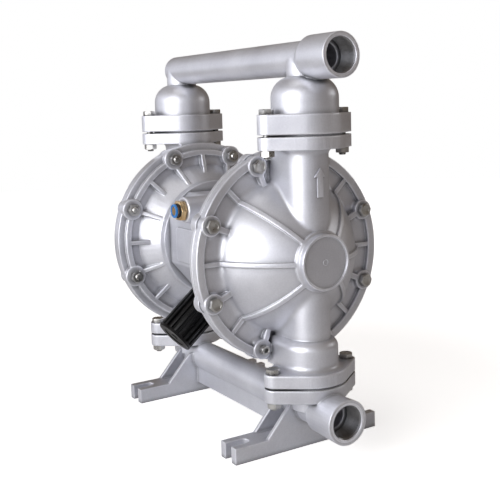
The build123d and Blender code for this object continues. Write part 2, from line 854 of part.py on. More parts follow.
# Rod with its plates and diaphragms
with BuildPart() as diaphragm_rod:
    with BuildSketch(cross_plane(-inner_plate_face)):
        Circle(rod_radius)
    extrude(amount=2 * inner_plate_face)
    with BuildSketch(cross_plane(-stud_reach)):
        Circle(stud_radius)
    extrude(amount=2 * stud_reach)
    chamfer(diaphragm_rod.edges().sort_by(Axis.X)[0], length=1)
    chamfer(diaphragm_rod.edges().sort_by(Axis.X)[-1], length=1)

write(diaphragm_rod, "diaphragm_rod")

with BuildPart() as inner_plate_right:
    with BuildSketch(cross_plane(inner_plate_face)):
        Circle(plate_disc_radius)
        Circle(stud_radius, mode=Mode.SUBTRACT)
    extrude(amount=plate_disc_thickness)
    fillet(inner_plate_right.edges().filter_by(GeomType.CIRCLE).sort_by(SortBy.RADIUS)[-2:], radius=3)

with BuildPart() as outer_plate_right:
    with BuildSketch(axis_section):
        Polygon(
            (joint_plane + half_diaphragm, 0),
            (joint_plane + half_diaphragm, plate_disc_radius),
            (joint_plane + half_diaphragm + plate_disc_thickness / 2, plate_disc_radius),
            (joint_plane + half_diaphragm + plate_disc_thickness, plate_disc_radius * 2 / 3),
            (outer_hub_reach - 6, outer_hub_radius),
            (outer_hub_reach, outer_hub_radius - 3),
            (outer_hub_reach, 0),
            align=None,
        )
    revolve(axis=pump_axis)
    with BuildSketch(cross_plane(joint_plane + half_diaphragm)):
        Circle(stud_radius)
    extrude(amount=stud_reach - joint_plane - half_diaphragm, mode=Mode.SUBTRACT)

with BuildPart() as diaphragm_right:
    with BuildSketch(axis_section):
        with BuildLine():
            near, far = joint_plane - half_diaphragm, joint_plane + half_diaphragm
            middle = (convolution_inner + convolution_outer) / 2
            Line((near, stud_radius), (near, convolution_inner))
            ThreePointArc(
                (near, convolution_inner), (near - convolution_depth, middle), (near, convolution_outer)
            )
            Polyline(
                (near, convolution_outer),
                (near, clamp_radius - seat_clearance),
                (far, clamp_radius - seat_clearance),
                (far, convolution_outer),
            )
            ThreePointArc(
                (far, convolution_outer), (far - convolution_depth, middle), (far, convolution_inner)
            )
            Polyline((far, convolution_inner), (far, stud_radius), (near, stud_radius))
        make_face()
    revolve(axis=pump_axis)

with BuildPart() as rod_bush_right:
    with BuildSketch(cross_plane(hub_face - seal_length - bush_length)):
        Circle(bush_outer_radius)
        Circle(rod_radius + running_clearance, mode=Mode.SUBTRACT)
    extrude(amount=bush_length)

with BuildPart() as rod_seal_right:
    with BuildSketch(cross_plane(hub_face - seal_length)):
        Circle(bush_outer_radius)
        Circle(rod_radius + running_clearance, mode=Mode.SUBTRACT)
    extrude(amount=seal_length)

for piece, name in (
    (inner_plate_right, "inner_plate"),
    (outer_plate_right, "outer_plate"),
    (diaphragm_right, "diaphragm"),
    (rod_bush_right, "rod_bush"),
    (rod_seal_right, "rod_seal"),
):
    write(piece, f"{name}_right")
    with BuildPart() as left_piece:
        mirror(piece.part, about=Plane.YZ)
    write(left_piece, f"{name}_left")

# Air valve: block on a gasket behind the centre body, with a spool in a sleeve
valve_middle = (valve_low + valve_high) / 2
valve_face = body_front + gasket_thickness
valve_axis_y = valve_face + valve_depth / 2
sleeve_half_length = valve_half_length - cap_plug


def valve_plane(x):
    """Plane across the spool axis at x, with local x along +Y and local y up."""
    return Plane(origin=(x, valve_axis_y, axis_height + valve_middle), x_dir=(0, 1, 0), z_dir=(1, 0, 0))


def valve_face_plane(y):
    """Upright plane at y behind the centre body, with local x along +X, facing +Y when extruded back."""
    return Plane(origin=(0, y, axis_height + valve_middle), x_dir=(1, 0, 0), z_dir=(0, -1, 0))


with BuildPart() as air_valve_gasket:
    with BuildSketch(valve_face_plane(body_front)):
        RectangleRounded(2 * valve_half_length, valve_high - valve_low, 4)
        with Locations(*valve_screw_places):
            Circle(m8_radius, mode=Mode.SUBTRACT)
    extrude(amount=-gasket_thickness)

with BuildPart() as air_valve_body:
    with BuildSketch(valve_face_plane(valve_face)):
        RectangleRounded(2 * valve_half_length, valve_high - valve_low, 4)
        with Locations(*valve_screw_places):
            Circle(m8_radius, mode=Mode.SUBTRACT)
    extrude(amount=-valve_depth)
    with BuildSketch(valve_plane(-valve_half_length)):
        Circle(sleeve_outer_radius)
    extrude(amount=2 * valve_half_length, mode=Mode.SUBTRACT)
    for base, depth in ((-valve_half_length, cap_screw_depth), (valve_half_length, -cap_screw_depth)):
        with BuildSketch(valve_plane(base)):
            with GridLocations(2 * cap_screw_offset, 2 * cap_screw_offset, 2, 2):
                Circle(m5_radius)
        extrude(amount=depth, mode=Mode.SUBTRACT)

with BuildPart() as air_valve_sleeve:
    with BuildSketch(valve_plane(-sleeve_half_length)):
        Circle(sleeve_outer_radius)
        Circle(spool_radius + running_clearance, mode=Mode.SUBTRACT)
    extrude(amount=2 * sleeve_half_length)
    with BuildSketch(valve_face_plane(valve_axis_y)):
        with GridLocations(sleeve_port_pitch, 1, 3, 1):
            Circle(sleeve_port_radius)
    extrude(amount=sleeve_outer_radius, mode=Mode.SUBTRACT)

with BuildPart() as air_valve_spool:
    with BuildSketch(valve_plane(-spool_half_length - spool_travel / 2)):
        Circle(spool_radius)
    extrude(amount=2 * spool_half_length)
    for centre in (-spool_land_pitch / 2, spool_land_pitch / 2):
        with BuildSketch(valve_plane(centre - spool_travel / 2)):
            Circle(spool_radius)
            Circle(spool_waist_radius, mode=Mode.SUBTRACT)
        extrude(amount=spool_land_pitch / 4, both=True, mode=Mode.SUBTRACT)

with BuildPart() as air_valve_cap_right:
    with BuildSketch(valve_plane(valve_half_length)):
        RectangleRounded(2 * cap_half_size, 2 * cap_half_size, 4)
        with GridLocations(2 * cap_screw_offset, 2 * cap_screw_offset, 2, 2):
            Circle(m5_radius, mode=Mode.SUBTRACT)
    extrude(amount=cap_thickness)
    with BuildSketch(valve_plane(valve_half_length)):
        Circle(sleeve_outer_radius - running_clearance)
    extrude(amount=-cap_plug)

with BuildPart() as air_valve_cap_left:
    mirror(air_valve_cap_right.part, about=Plane.YZ)

for piece, name in (
    (air_valve_gasket, "air_valve_gasket"),
    (air_valve_body, "air_valve_body"),
    (air_valve_sleeve, "air_valve_sleeve"),
    (air_valve_spool, "air_valve_spool"),
    (air_valve_cap_right, "air_valve_cap_right"),
    (air_valve_cap_left, "air_valve_cap_left"),
):
    write(piece, name)

# Silencer: ribbed round body between two discs, on a threaded nipple
silencer_start = silencer_reach - silencer_length
with BuildPart() as silencer:
    with BuildSketch(silencer_plane.offset(-nipple_depth)):
        Circle(silencer_nipple_radius)
    extrude(amount=nipple_depth + silencer_start)
    with BuildSketch(silencer_plane.offset(silencer_start)):
        Circle(silencer_core_radius)
        with PolarLocations(silencer_core_radius, silencer_ribs):
            Rectangle(2 * (silencer_radius - silencer_core_radius) - 0.4, silencer_rib_width)
    extrude(amount=silencer_length)
    for base in (silencer_start, silencer_reach - silencer_disc):
        with BuildSketch(silencer_plane.offset(base)):
            Circle(silencer_radius)
        extrude(amount=silencer_disc)

write(silencer, "silencer")

# Push-in air fitting: threaded hexagon body, seal ring and release collet
collet_bottom = fitting_hex_height + fitting_ring_height - collet_sleeve_length
with BuildPart() as inlet_fitting:
    with BuildSketch(inlet_plane.offset(-fitting_thread_length)):
        Circle(fitting_thread_radius)
    extrude(amount=fitting_thread_length)
    with BuildSketch(inlet_plane):
        RegularPolygon(radius=fitting_hex / 2, side_count=6, major_radius=False)
    extrude(amount=fitting_hex_height)
    with BuildSketch(inlet_plane):
        Circle(fitting_neck_radius)
    extrude(amount=fitting_hex_height + fitting_ring_height)
    with BuildSketch(inlet_plane.offset(fitting_hex_height + fitting_ring_height)):
        Circle(collet_sleeve_radius + running_clearance)
    extrude(amount=-collet_sleeve_length - collet_gap, mode=Mode.SUBTRACT)
    with BuildSketch(inlet_plane.offset(collet_bottom - collet_gap)):
        Circle(tube_radius)
    extrude(amount=-tube_depth, mode=Mode.SUBTRACT)
    with BuildSketch(inlet_plane):
        Circle(air_bore_radius)
    extrude(amount=-fitting_thread_length, mode=Mode.SUBTRACT)

with BuildPart() as fitting_ring:
    with BuildSketch(inlet_plane.offset(fitting_hex_height)):
        Circle(fitting_ring_radius)
        Circle(fitting_neck_radius, mode=Mode.SUBTRACT)
    extrude(amount=fitting_ring_height)

with BuildPart() as release_collet:
    with BuildSketch(inlet_plane.offset(collet_bottom)):
        Circle(collet_sleeve_radius)
    extrude(amount=collet_sleeve_length + collet_gap)
    with BuildSketch(inlet_plane.offset(collet_bottom + collet_sleeve_length + collet_gap)):
        Circle(collet_radius)
    extrude(amount=collet_height)
    fillet(release_collet.edges().sort_by(Axis.Y)[0], radius=1)
    with BuildSketch(inlet_plane.offset(collet_bottom)):
        Circle(tube_radius + running_clearance)
    extrude(amount=collet_sleeve_length + collet_gap + collet_height, mode=Mode.SUBTRACT)

write(inlet_fitting, "inlet_fitting")
write(fitting_ring, "fitting_ring")
write(release_collet, "release_collet")

# Chamber bolts, socket screws and nuts
shank_end = rear_boss_face - m10_nut - m10_thread_out

with BuildPart() as chamber_bolts_right:
    with BuildSketch(cross_plane(boss_face)):
        with Locations(*ring_places(hex_bolt_angles, bolt_circle_radius)):
            RegularPolygon(radius=m10_flats / 2, side_count=6, major_radius=False)
    extrude(amount=m10_head)
    with BuildSketch(cross_plane(shank_end)):
        with Locations(*ring_places(hex_bolt_angles, bolt_circle_radius)):
            Circle(m10_radius)
    extrude(amount=boss_face - shank_end)

with BuildPart() as chamber_socket_screws_right:
    with BuildSketch(cross_plane(boss_face)):
        with Locations(*ring_places(socket_bolt_angles, bolt_circle_radius)):
            Circle(m8_head_radius)
            RegularPolygon(radius=m8_key / 2, side_count=6, major_radius=False, mode=Mode.SUBTRACT)
    extrude(amount=m8_head)
    with BuildSketch(cross_plane(rear_boss_face)):
        with Locations(*ring_places(socket_bolt_angles, bolt_circle_radius)):
            Circle(m8_radius)
    extrude(amount=boss_face + m8_head / 2 - rear_boss_face)

with BuildPart() as chamber_nuts_right:
    with BuildSketch(cross_plane(rear_boss_face)):
        with Locations(*ring_places(hex_bolt_angles, bolt_circle_radius)):
            RegularPolygon(radius=m10_flats / 2, side_count=6, major_radius=False)
            Circle(m10_radius, mode=Mode.SUBTRACT)
    extrude(amount=-m10_nut)

with BuildPart() as hub_screws_right:
    with BuildSketch(cross_plane(cavity_floor - m8_head)):
        with PolarLocations(hub_screw_circle, hub_screw_count):
            Circle(m8_head_radius)
            RegularPolygon(radius=m8_key / 2, side_count=6, major_radius=False, mode=Mode.SUBTRACT)
    extrude(amount=m8_head)
    with BuildSketch(cross_plane(hub_face - hub_screw_depth)):
        with PolarLocations(hub_screw_circle, hub_screw_count):
            Circle(m8_radius)
    extrude(amount=cavity_floor - m8_head / 2 - hub_face + hub_screw_depth)

for piece, name in (
    (chamber_bolts_right, "chamber_bolts"),
    (chamber_socket_screws_right, "chamber_socket_screws"),
    (chamber_nuts_right, "chamber_nuts"),
    (hub_screws_right, "hub_screws"),
):
    write(piece, f"{name}_right")
    with BuildPart() as left_piece:
        mirror(piece.part, about=Plane.YZ)
    write(left_piece, f"{name}_left")

# Manifold bolts, with heads above and nuts below each joint
joint_levels = {
    "discharge": (seat_plane + raised_face + discharge_plate, riser_height),
    "suction": (-riser_height, -seat_plane - raised_face - suction_plate),
}
for joint_name, (upper_face, lower_face) in joint_levels.items():
    with BuildPart() as manifold_bolts:
        with BuildSketch(level(upper_face)):
            with Locations(*flange_bolt_places):
                RegularPolygon(radius=m10_flats / 2, side_count=6, major_radius=False)
        extrude(amount=m10_head)
        with BuildSketch(level(lower_face - m10_nut - m10_thread_out)):
            with Locations(*flange_bolt_places):
                Circle(m10_radius)
        extrude(amount=upper_face - lower_face + m10_nut + m10_thread_out)
    with BuildPart() as manifold_nuts:
        with BuildSketch(level(lower_face)):
            with Locations(*flange_bolt_places):
                RegularPolygon(radius=m10_flats / 2, side_count=6, major_radius=False)
                Circle(m10_radius, mode=Mode.SUBTRACT)
        extrude(amount=-m10_nut)
    write(manifold_bolts, f"{joint_name}_bolts")
    write(manifold_nuts, f"{joint_name}_nuts")

# Air valve screws
with BuildPart() as valve_mount_screws:
    with BuildSketch(valve_face_plane(valve_face + valve_depth)):
        with Locations(*valve_screw_places):
            Circle(m8_head_radius)
            RegularPolygon(radius=m8_key / 2, side_count=6, major_radius=False, mode=Mode.SUBTRACT)
    extrude(amount=-m8_head)
    with BuildSketch(valve_face_plane(valve_face + valve_depth + m8_head / 2)):
        with Locations(*valve_screw_places):
            Circle(m8_radius)
    extrude(amount=m8_head / 2 + valve_depth + gasket_thickness + valve_screw_depth)

with BuildPart() as valve_cap_screws:
    with BuildSketch(valve_plane(valve_half_length + cap_thickness)):
        with GridLocations(2 * cap_screw_offset, 2 * cap_screw_offset, 2, 2):
            Circle(m5_head_radius)
            RegularPolygon(radius=m5_key / 2, side_count=6, major_radius=False, mode=Mode.SUBTRACT)
    extrude(amount=m5_head)
    with BuildSketch(valve_plane(valve_half_length - cap_screw_depth)):
        with GridLocations(2 * cap_screw_offset, 2 * cap_screw_offset, 2, 2):
            Circle(m5_radius)
    extrude(amount=cap_screw_depth + cap_thickness + m5_head / 2)
    mirror(about=Plane.YZ)

write(valve_mount_screws, "valve_mount_screws")
write(valve_cap_screws, "valve_cap_screws")
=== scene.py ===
"""Air operated diaphragm pump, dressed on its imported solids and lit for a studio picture."""

import json
import logging
import math
from dataclasses import dataclass, field
from enum import Enum
from typing import Callable, Iterable, Sequence

import bpy
from mathutils import Matrix, Vector

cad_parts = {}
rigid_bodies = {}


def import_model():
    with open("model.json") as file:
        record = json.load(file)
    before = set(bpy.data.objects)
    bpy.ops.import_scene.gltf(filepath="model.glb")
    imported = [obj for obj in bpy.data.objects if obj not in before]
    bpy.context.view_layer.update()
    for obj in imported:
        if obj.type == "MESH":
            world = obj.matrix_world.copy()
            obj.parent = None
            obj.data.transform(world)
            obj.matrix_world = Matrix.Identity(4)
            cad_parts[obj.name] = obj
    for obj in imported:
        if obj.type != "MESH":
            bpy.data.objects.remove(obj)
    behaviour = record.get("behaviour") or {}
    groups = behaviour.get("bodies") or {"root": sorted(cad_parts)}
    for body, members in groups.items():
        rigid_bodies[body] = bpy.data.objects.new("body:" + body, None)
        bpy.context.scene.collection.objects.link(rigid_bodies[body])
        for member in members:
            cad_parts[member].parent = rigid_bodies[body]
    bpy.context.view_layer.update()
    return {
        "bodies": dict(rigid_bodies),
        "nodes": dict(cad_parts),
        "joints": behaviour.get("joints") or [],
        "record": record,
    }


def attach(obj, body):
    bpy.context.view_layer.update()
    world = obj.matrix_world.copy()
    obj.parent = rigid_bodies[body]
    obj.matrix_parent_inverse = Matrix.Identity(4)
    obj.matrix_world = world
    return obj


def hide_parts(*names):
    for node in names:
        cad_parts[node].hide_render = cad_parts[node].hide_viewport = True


logging.basicConfig(level=logging.INFO, format="%(message)s")
log = logging.getLogger("pump")

ROD_HEIGHT = 0.263
PORT_HEIGHTS = {"discharge_manifold": 0.528, "suction_manifold": 0.0584}
SIDES = ((1, "right"), (-1, "left"))
Place = tuple[float, float, float]
MILLIMETRES = 1000
MERGE_DISTANCE = 1e-6
SOLID_MERGE_DISTANCE = 1e-5


# Materials

# Ends of the pattern's range that each feature of a finish reads
# Painted shade: ends of the occlusion value over which the colour darkens in crevices
PAINTED_SHADE_ENDS = (0.35, 0.95)
# Painted highlight: ends of the pointiness over which the colour brightens on outer edges
PAINTED_HIGHLIGHT_ENDS = (0.5, 0.56)
CLOUD_ENDS = (0.35, 0.65)
CLOUD_ROUGH_ENDS = (0.3, 0.7)
GRAIN_ENDS = (0.2, 0.8)
SPECK_TINTS = (0.94, 1.05)
OCCLUSION_SAMPLES = 8


def linear(hex_colour: str) -> tuple[float, float, float, float]:
    """Turn an sRGB hex colour into linear light.

    Args:
        hex_colour: Six hex digits, such as "b4b6ba".

    Returns:
        Red, green, blue and an alpha of 1.
    """
    channels = [int(hex_colour[i : i + 2], 16) / 255 for i in (0, 2, 4)]
    bent = [c / 12.92 if c <= 0.04045 else ((c + 0.055) / 1.055) ** 2.4 for c in channels]
    return (bent[0], bent[1], bent[2], 1.0)


def add_node(
    tree: bpy.types.NodeTree,
    kind: str,
    settings: dict[str, object] | None = None,
    inputs: dict[str, object] | None = None,
) -> bpy.types.Node:
    """Add a node with its settings, values and links.

    Args:
        tree: The node tree that takes the node.
        kind: The node's type, without the ShaderNode prefix.
        settings: Properties of the node itself.
        inputs: Socket name to a value, or to an output socket to link from.

    Returns:
        The new node.
    """
    node = tree.nodes.new("ShaderNode" + kind)
    for name, value in (settings or {}).items():
        setattr(node, name, value)
    for name, value in (inputs or {}).items():
        socket = node.inputs[int(name)] if name.isdigit() else node.inputs[name]
        if isinstance(value, bpy.types.NodeSocket):
            tree.links.new(value, socket)
        else:
            socket.default_value = value
    return node


@dataclass(frozen=True)
class Finish:
    """A finish, from a real material and the way its surface was made.

    Attributes:
        name: The material's name.
        light: The lighter tone of the soft random clouds, as sRGB hex.
        dark: The darker tone of the soft random clouds, as sRGB hex.
        metallic: 1 for bare metal, less for metal flake in a coat.
        roughness: Mean roughness.
        grain: Size of the surface's grain, in millimetres.
        relief: Height of the grain, in millimetres.
        clouds: Size of the soft colour changes, in millimetres.
        rough_spread: How far the roughness strays from its mean.
        streak: Stretch of the grain along X, Y and Z, for brushed or turned metal.
        specular: The shader's IOR level, for what isn't metal.
        reach: How far from a corner the painted shade darkens the crevices, in millimetres.
        painted_shade_floor: What the painted shade leaves of the colour in the deepest crevice.
        crest: How much brighter the painted highlight makes the outer edges.
    """

    name: str
    light: str
    dark: str
    metallic: float
    roughness: float
    grain: float
    relief: float
    clouds: float = 60.0
    rough_spread: float = 0.08
    streak: tuple[float, float, float] = (1.0, 1.0, 1.0)
    specular: float = 0.5
    reach: float = 6.0
    painted_shade_floor: float = 0.55
    crest: float = 0.0

    def painted_shade_and_highlight(self, tree: bpy.types.NodeTree) -> bpy.types.NodeSocket:
        """Paint shade into the crevices and highlights onto the outer edges.

        Args:
            tree: The material's node tree.

        Returns:
            A factor for the colour.
        """
        # Painted shade: the colour darkens where ambient occlusion finds nearby faces, in crevices
        # and recesses
        distance = {"Distance": self.reach / MILLIMETRES}
        open_share = add_node(tree, "AmbientOcclusion", {"samples": OCCLUSION_SAMPLES}, distance)
        crevice = add_node(
            tree,
            "MapRange",
            inputs={
                "Value": open_share.outputs["AO"],
                "From Min": PAINTED_SHADE_ENDS[0],
                "From Max": PAINTED_SHADE_ENDS[1],
                "To Min": self.painted_shade_floor,
                "To Max": 1.0,
            },
        ).outputs[0]
        # Painted highlight: the colour brightens on the convex outer edges, read from pointiness
        crest = add_node(
            tree,
            "MapRange",
            inputs={
                "Value": add_node(tree, "NewGeometry").outputs["Pointiness"],
                "From Min": PAINTED_HIGHLIGHT_ENDS[0],
                "From Max": PAINTED_HIGHLIGHT_ENDS[1],
                "To Min": 1.0,
                "To Max": 1.0 + self.crest,
            },
        ).outputs[0]
        factors = {"0": crevice, "1": crest}
        return add_node(tree, "Math", {"operation": "MULTIPLY"}, factors).outputs[0]

    def material(self) -> bpy.types.Material:
        """Build the material.

        Returns:
            The material, with its pattern on Object coordinates.
        """
        material = bpy.data.materials.new(self.name)
        material.use_nodes = True
        tree = material.node_tree
        tree.nodes.clear()
        place = add_node(tree, "TexCoord").outputs["Object"]
        stretch = {"Vector": place, "Scale": self.streak}
        stretched = add_node(tree, "Mapping", inputs=stretch).outputs["Vector"]
        cloud = add_node(
            tree,
            "TexNoise",
            inputs={
                "Vector": place,
                "Scale": MILLIMETRES / self.clouds,
                "Detail": 4.0,
                "Roughness": 0.55,
            },
        ).outputs["Fac"]
        grain = add_node(
            tree,
            "TexNoise",
            inputs={
                "Vector": stretched,
                "Scale": MILLIMETRES / self.grain,
                "Detail": 3.0,
                "Roughness": 0.6,
            },
        ).outputs["Fac"]
        blend = add_node(
            tree,
            "MapRange",
            inputs={"Value": cloud, "From Min": CLOUD_ENDS[0], "From Max": CLOUD_ENDS[1]},
        ).outputs["Result"]
        colour = add_node(
            tree,
            "Mix",
            {"data_type": "RGBA"},
            {"0": blend, "6": linear(self.dark), "7": linear(self.light)},
        ).outputs[2]
        speck = add_node(
            tree,
            "MapRange",
            inputs={
                "Value": grain,
                "From Min": GRAIN_ENDS[0],
                "From Max": GRAIN_ENDS[1],
                "To Min": SPECK_TINTS[0],
                "To Max": SPECK_TINTS[1],
            },
        ).outputs["Result"]
        tint = {"data_type": "RGBA", "blend_type": "MULTIPLY"}
        tinted = add_node(tree, "Mix", tint, {"0": 1.0, "6": colour, "7": speck}).outputs[2]
        # The colour takes the painted shade and the painted highlight here
        painted_shade_and_highlight = {"0": 1.0, "6": tinted, "7": self.painted_shade_and_highlight(tree)}
        colour_with_painted_shade = add_node(tree, "Mix", tint, painted_shade_and_highlight).outputs[2]
        rough = add_node(
            tree,
            "MapRange",
            inputs={
                "Value": cloud,
                "From Min": CLOUD_ROUGH_ENDS[0],
                "From Max": CLOUD_ROUGH_ENDS[1],
                "To Min": self.roughness - self.rough_spread,
                "To Max": self.roughness + self.rough_spread,
            },
        ).outputs["Result"]
        relief = {"Height": grain, "Strength": 1.0, "Distance": self.relief / MILLIMETRES}
        bump = add_node(tree, "Bump", inputs=relief).outputs["Normal"]
        shader = add_node(
            tree,
            "BsdfPrincipled",
            inputs={
                "Base Color": colour_with_painted_shade,
                "Metallic": self.metallic,
                "Roughness": rough,
                "Normal": bump,
                "Specular IOR Level": self.specular,
            },
        ).outputs["BSDF"]
        add_node(tree, "OutputMaterial", inputs={"Surface": shader})
        return material


class Surface(Enum):
    """The finishes on the pump, named for what they are."""

    # Die-cast aluminium under a sprayed silver coat: satin, with soft clouds. The pebble from the
    # mould is drawn coarser than the real one, so that it shows. Its corners get painted shade and
    # its outer edges a painted highlight
    SILVER_CASTING = Finish(
        *("silver_coated_die_casting", "dcdde3", "cfd0d7", 0.68, 0.42, 2.2, 0.05, 60.0, 0.05),
        reach=8.0,
        painted_shade_floor=0.32,
        crest=0.35,
    )
    # Machined aluminium inside the ports: bare and bright, with turning marks, and painted shade
    # that darkens the depth of the bore
    TURNED_ALUMINIUM = Finish(
        *("turned_aluminium", "b4b4b6", "929294", 1.0, 0.34, 0.8, 0.03, 18.0, 0.08),
        streak=(3.0, 1.0, 1.0),
        reach=16.0,
        painted_shade_floor=0.15,
    )
    # Cold-headed stainless steel: neutral and bright, with slight scuffs
    STAINLESS = Finish("cold_headed_stainless", "cfcecb", "b4b3b0", 1.0, 0.32, 1.6, 0.03, 9.0)
    # Ground stainless bar: bright and even
    GROUND_BAR = Finish(
        "ground_stainless_bar", "c6c6c8", "b4b4b6", 1.0, 0.18, 0.6, 0.01, 30.0, 0.05
    )
    # Moulded black nylon: dark satin, with a faint texture from the mould
    BLACK_NYLON = Finish(
        *("moulded_black_nylon", "0b0b0c", "060607", 0.0, 0.36, 1.2, 0.03, 20.0),
        specular=0.3,
    )
    # Drawn brass hexagon: yellow and bright, with a little painted shade in its corners
    BRASS = Finish("drawn_brass", "ecd0a2", "d9b582", 1.0, 0.24, 1.0, 0.01, 25.0, 0.05, reach=3.0)
    # Bronze bush, turned: browner than the brass
    BRONZE = Finish("turned_bronze", "b58a55", "8d673c", 1.0, 0.34, 1.0, 0.02, 12.0)
    # Injection-moulded acetal, blue: glossy and even
    BLUE_ACETAL = Finish(
        "moulded_blue_acetal", "2f7fc6", "226db4", 0.0, 0.28, 1.0, 0.01, 12.0, 0.04
    )
    # Moulded nitrile rubber: matt black with a dusty bloom
    NITRILE = Finish("moulded_nitrile", "232324", "191919", 0.0, 0.62, 1.4, 0.03, 16.0, 0.10)


class Finishes:
    """Makes each finish once and dresses pieces with it."""

    def __init__(self) -> None:
        """Start with no material made."""
        self._made: dict[Surface, bpy.types.Material] = {}

    def get(self, surface: Surface) -> bpy.types.Material:
        """Give the finish's material, made on its first use.

        Args:
            surface: The finish.

        Returns:
            The material.
        """
        if surface not in self._made:
            self._made[surface] = surface.value.material()
        return self._made[surface]

    def dress(self, piece: bpy.types.Object, surface: Surface) -> None:
        """Give a piece one finish all over.

        Args:
            piece: The piece.
            surface: The finish.
        """
        piece.data.materials.clear()
        piece.data.materials.append(self.get(surface))


# Bench: modelling steps that several classes share


def alone(piece: bpy.types.Object) -> None:
    """Select one object and make it active.

    Args:
        piece: The object.
    """
    bpy.ops.object.select_all(action="DESELECT")
    piece.select_set(True)
    bpy.context.view_layer.objects.active = piece


def pick_points(piece: bpy.types.Object, wanted: Callable[[Vector], bool]) -> None:
    """Select the points of a piece that meet a test, and leave it in edit mode.

    Args:
        piece: The piece, which is the active object.
        wanted: Tests a point's place.
    """
    bpy.ops.object.mode_set(mode="EDIT")
    bpy.ops.mesh.select_mode(type="VERT")
    bpy.ops.mesh.select_all(action="DESELECT")
    bpy.ops.object.mode_set(mode="OBJECT")
    for point in piece.data.vertices:
        point.select = wanted(point.co)
    bpy.ops.object.mode_set(mode="EDIT")


def modify(piece: bpy.types.Object, kind: str, **settings: object) -> None:
    """Add a modifier and apply it.

    Args:
        piece: The piece.
        kind: The modifier's type.
        **settings: Its properties.
    """
    alone(piece)
    modifier = piece.modifiers.new(kind.lower(), kind)
    for name, value in settings.items():
        setattr(modifier, name, value)
    bpy.ops.object.modifier_apply(modifier=modifier.name)


def carve(piece: bpy.types.Object, tool: bpy.types.Object, keep_inside: bool = False) -> None:
    """Cut a piece with a tool, which is used up.

    Args:
        piece: The piece.
        tool: The solid that cuts.
        keep_inside: Whether only what lies inside the tool stays, and not what lies outside.
    """
    modify(piece, "BOOLEAN", operation="INTERSECT" if keep_inside else "DIFFERENCE", object=tool)
    bpy.data.objects.remove(tool)


def break_edges(piece: bpy.types.Object, width: float, angle: float = 28.0) -> None:
    """Round a piece's sharp edges a little.

    Args:
        piece: The piece.
        width: Width of the rounding.
        angle: The least angle of an edge that is rounded, in degrees.
    """
    limit = math.radians(angle)
    modify(piece, "BEVEL", width=width, segments=2, limit_method="ANGLE", angle_limit=limit)


def settle(piece: bpy.types.Object, place: Matrix) -> None:
    """Put a piece at its place, with the object itself at the origin.

    Args:
        piece: The piece.
        place: Where it goes, from where it was made.
    """
    piece.matrix_world = place @ piece.matrix_world
    alone(piece)
    bpy.ops.object.transform_apply(location=True, rotation=True, scale=True)


def smooth(piece: bpy.types.Object, angle: float = 35.0) -> None:
    """Shade a piece smooth, apart from its edges sharper than an angle.

    Args:
        piece: The piece.
        angle: The angle in degrees.
    """
    alone(piece)
    bpy.ops.object.shade_smooth_by_angle(angle=math.radians(angle))


def drawn_out(
    name: str, steps: Sequence[tuple[float, float]], sides: int, solid: bool
) -> bpy.types.Object:
    """Draw a circle out along Z step by step.

    Args:
        name: The piece's name.
        steps: Height and radius of each step, in metres.
        sides: Points round each step.
        solid: Whether the circle is a disc, which closes both ends.

    Returns:
        The piece, with its faces outwards.
    """
    height, radius = steps[0]
    bpy.ops.mesh.primitive_circle_add(
        vertices=sides,
        radius=radius,
        fill_type="NGON" if solid else "NOTHING",
        location=(0, 0, height),
    )
    piece = bpy.context.active_object
    piece.name = name
    bpy.ops.object.transform_apply(location=True)
    bpy.ops.object.mode_set(mode="EDIT")
    bpy.ops.mesh.select_mode(type="FACE" if solid else "EDGE")
    bpy.ops.mesh.select_all(action="SELECT")
    for next_height, next_radius in steps[1:]:
        rise = (0, 0, next_height - height)
        bpy.ops.mesh.extrude_region_move(TRANSFORM_OT_translate={"value": rise})
        share = next_radius / radius
        bpy.ops.transform.resize(value=(share, share, 1), center_override=(0, 0, next_height))
        height, radius = next_height, next_radius
    bpy.ops.mesh.select_all(action="SELECT")
    if not solid:
        bpy.ops.mesh.remove_doubles(threshold=MERGE_DISTANCE)
    bpy.ops.mesh.normals_make_consistent(inside=False)
    bpy.ops.object.mode_set(mode="OBJECT")
    return piece


def lathe(name: str, steps: Sequence[tuple[float, float]], sides: int = 48) -> bpy.types.Object:
    """Turn a solid about Z by drawing a disc out step by step.

    Args:
        name: The piece's name.
        steps: Height and radius of each step, from the first disc to the last, in metres.
        sides: Points round each step.

    Returns:
        The turned piece, closed at both ends.
    """
    return drawn_out(name, steps, sides, solid=True)


def ring(name: str, steps: Sequence[tuple[float, float]], sides: int = 48) -> bpy.types.Object:
    """Turn a ring about Z from a closed profile.

    Args:
        name: The piece's name.
        steps: Height and radius of each corner of the profile, in metres.
        sides: Points round the ring.

    Returns:
        The ring.
    """
    return drawn_out(name, [*steps, steps[0]], sides, solid=False)


def hexagon_bar(name: str, flats: float, height: float) -> bpy.types.Object:
    """Add a length of hexagon bar that stands on the origin.

    Args:
        name: The piece's name.
        flats: Distance across its flats.
        height: Its height.

    Returns:
        The bar.
    """
    bpy.ops.mesh.primitive_cylinder_add(
        vertices=6,
        radius=flats / math.sqrt(3),
        depth=height,
        location=(0, 0, height / 2),
        rotation=(0, 0, math.pi / 6),
    )
    bar = bpy.context.active_object
    bar.name = name
    bpy.ops.object.transform_apply(location=True, rotation=True, scale=True)
    return bar


def join(parts: Sequence[bpy.types.Object], name: str) -> bpy.types.Object:
    """Join parts into the first one.

    Args:
        parts: The parts.
        name: The joined piece's name.

    Returns:
        The joined piece.
    """
    bpy.ops.object.select_all(action="DESELECT")
    for part in parts:
        part.select_set(True)
    bpy.context.view_layer.objects.active = parts[0]
    bpy.ops.object.join()
    parts[0].name = name
    return parts[0]


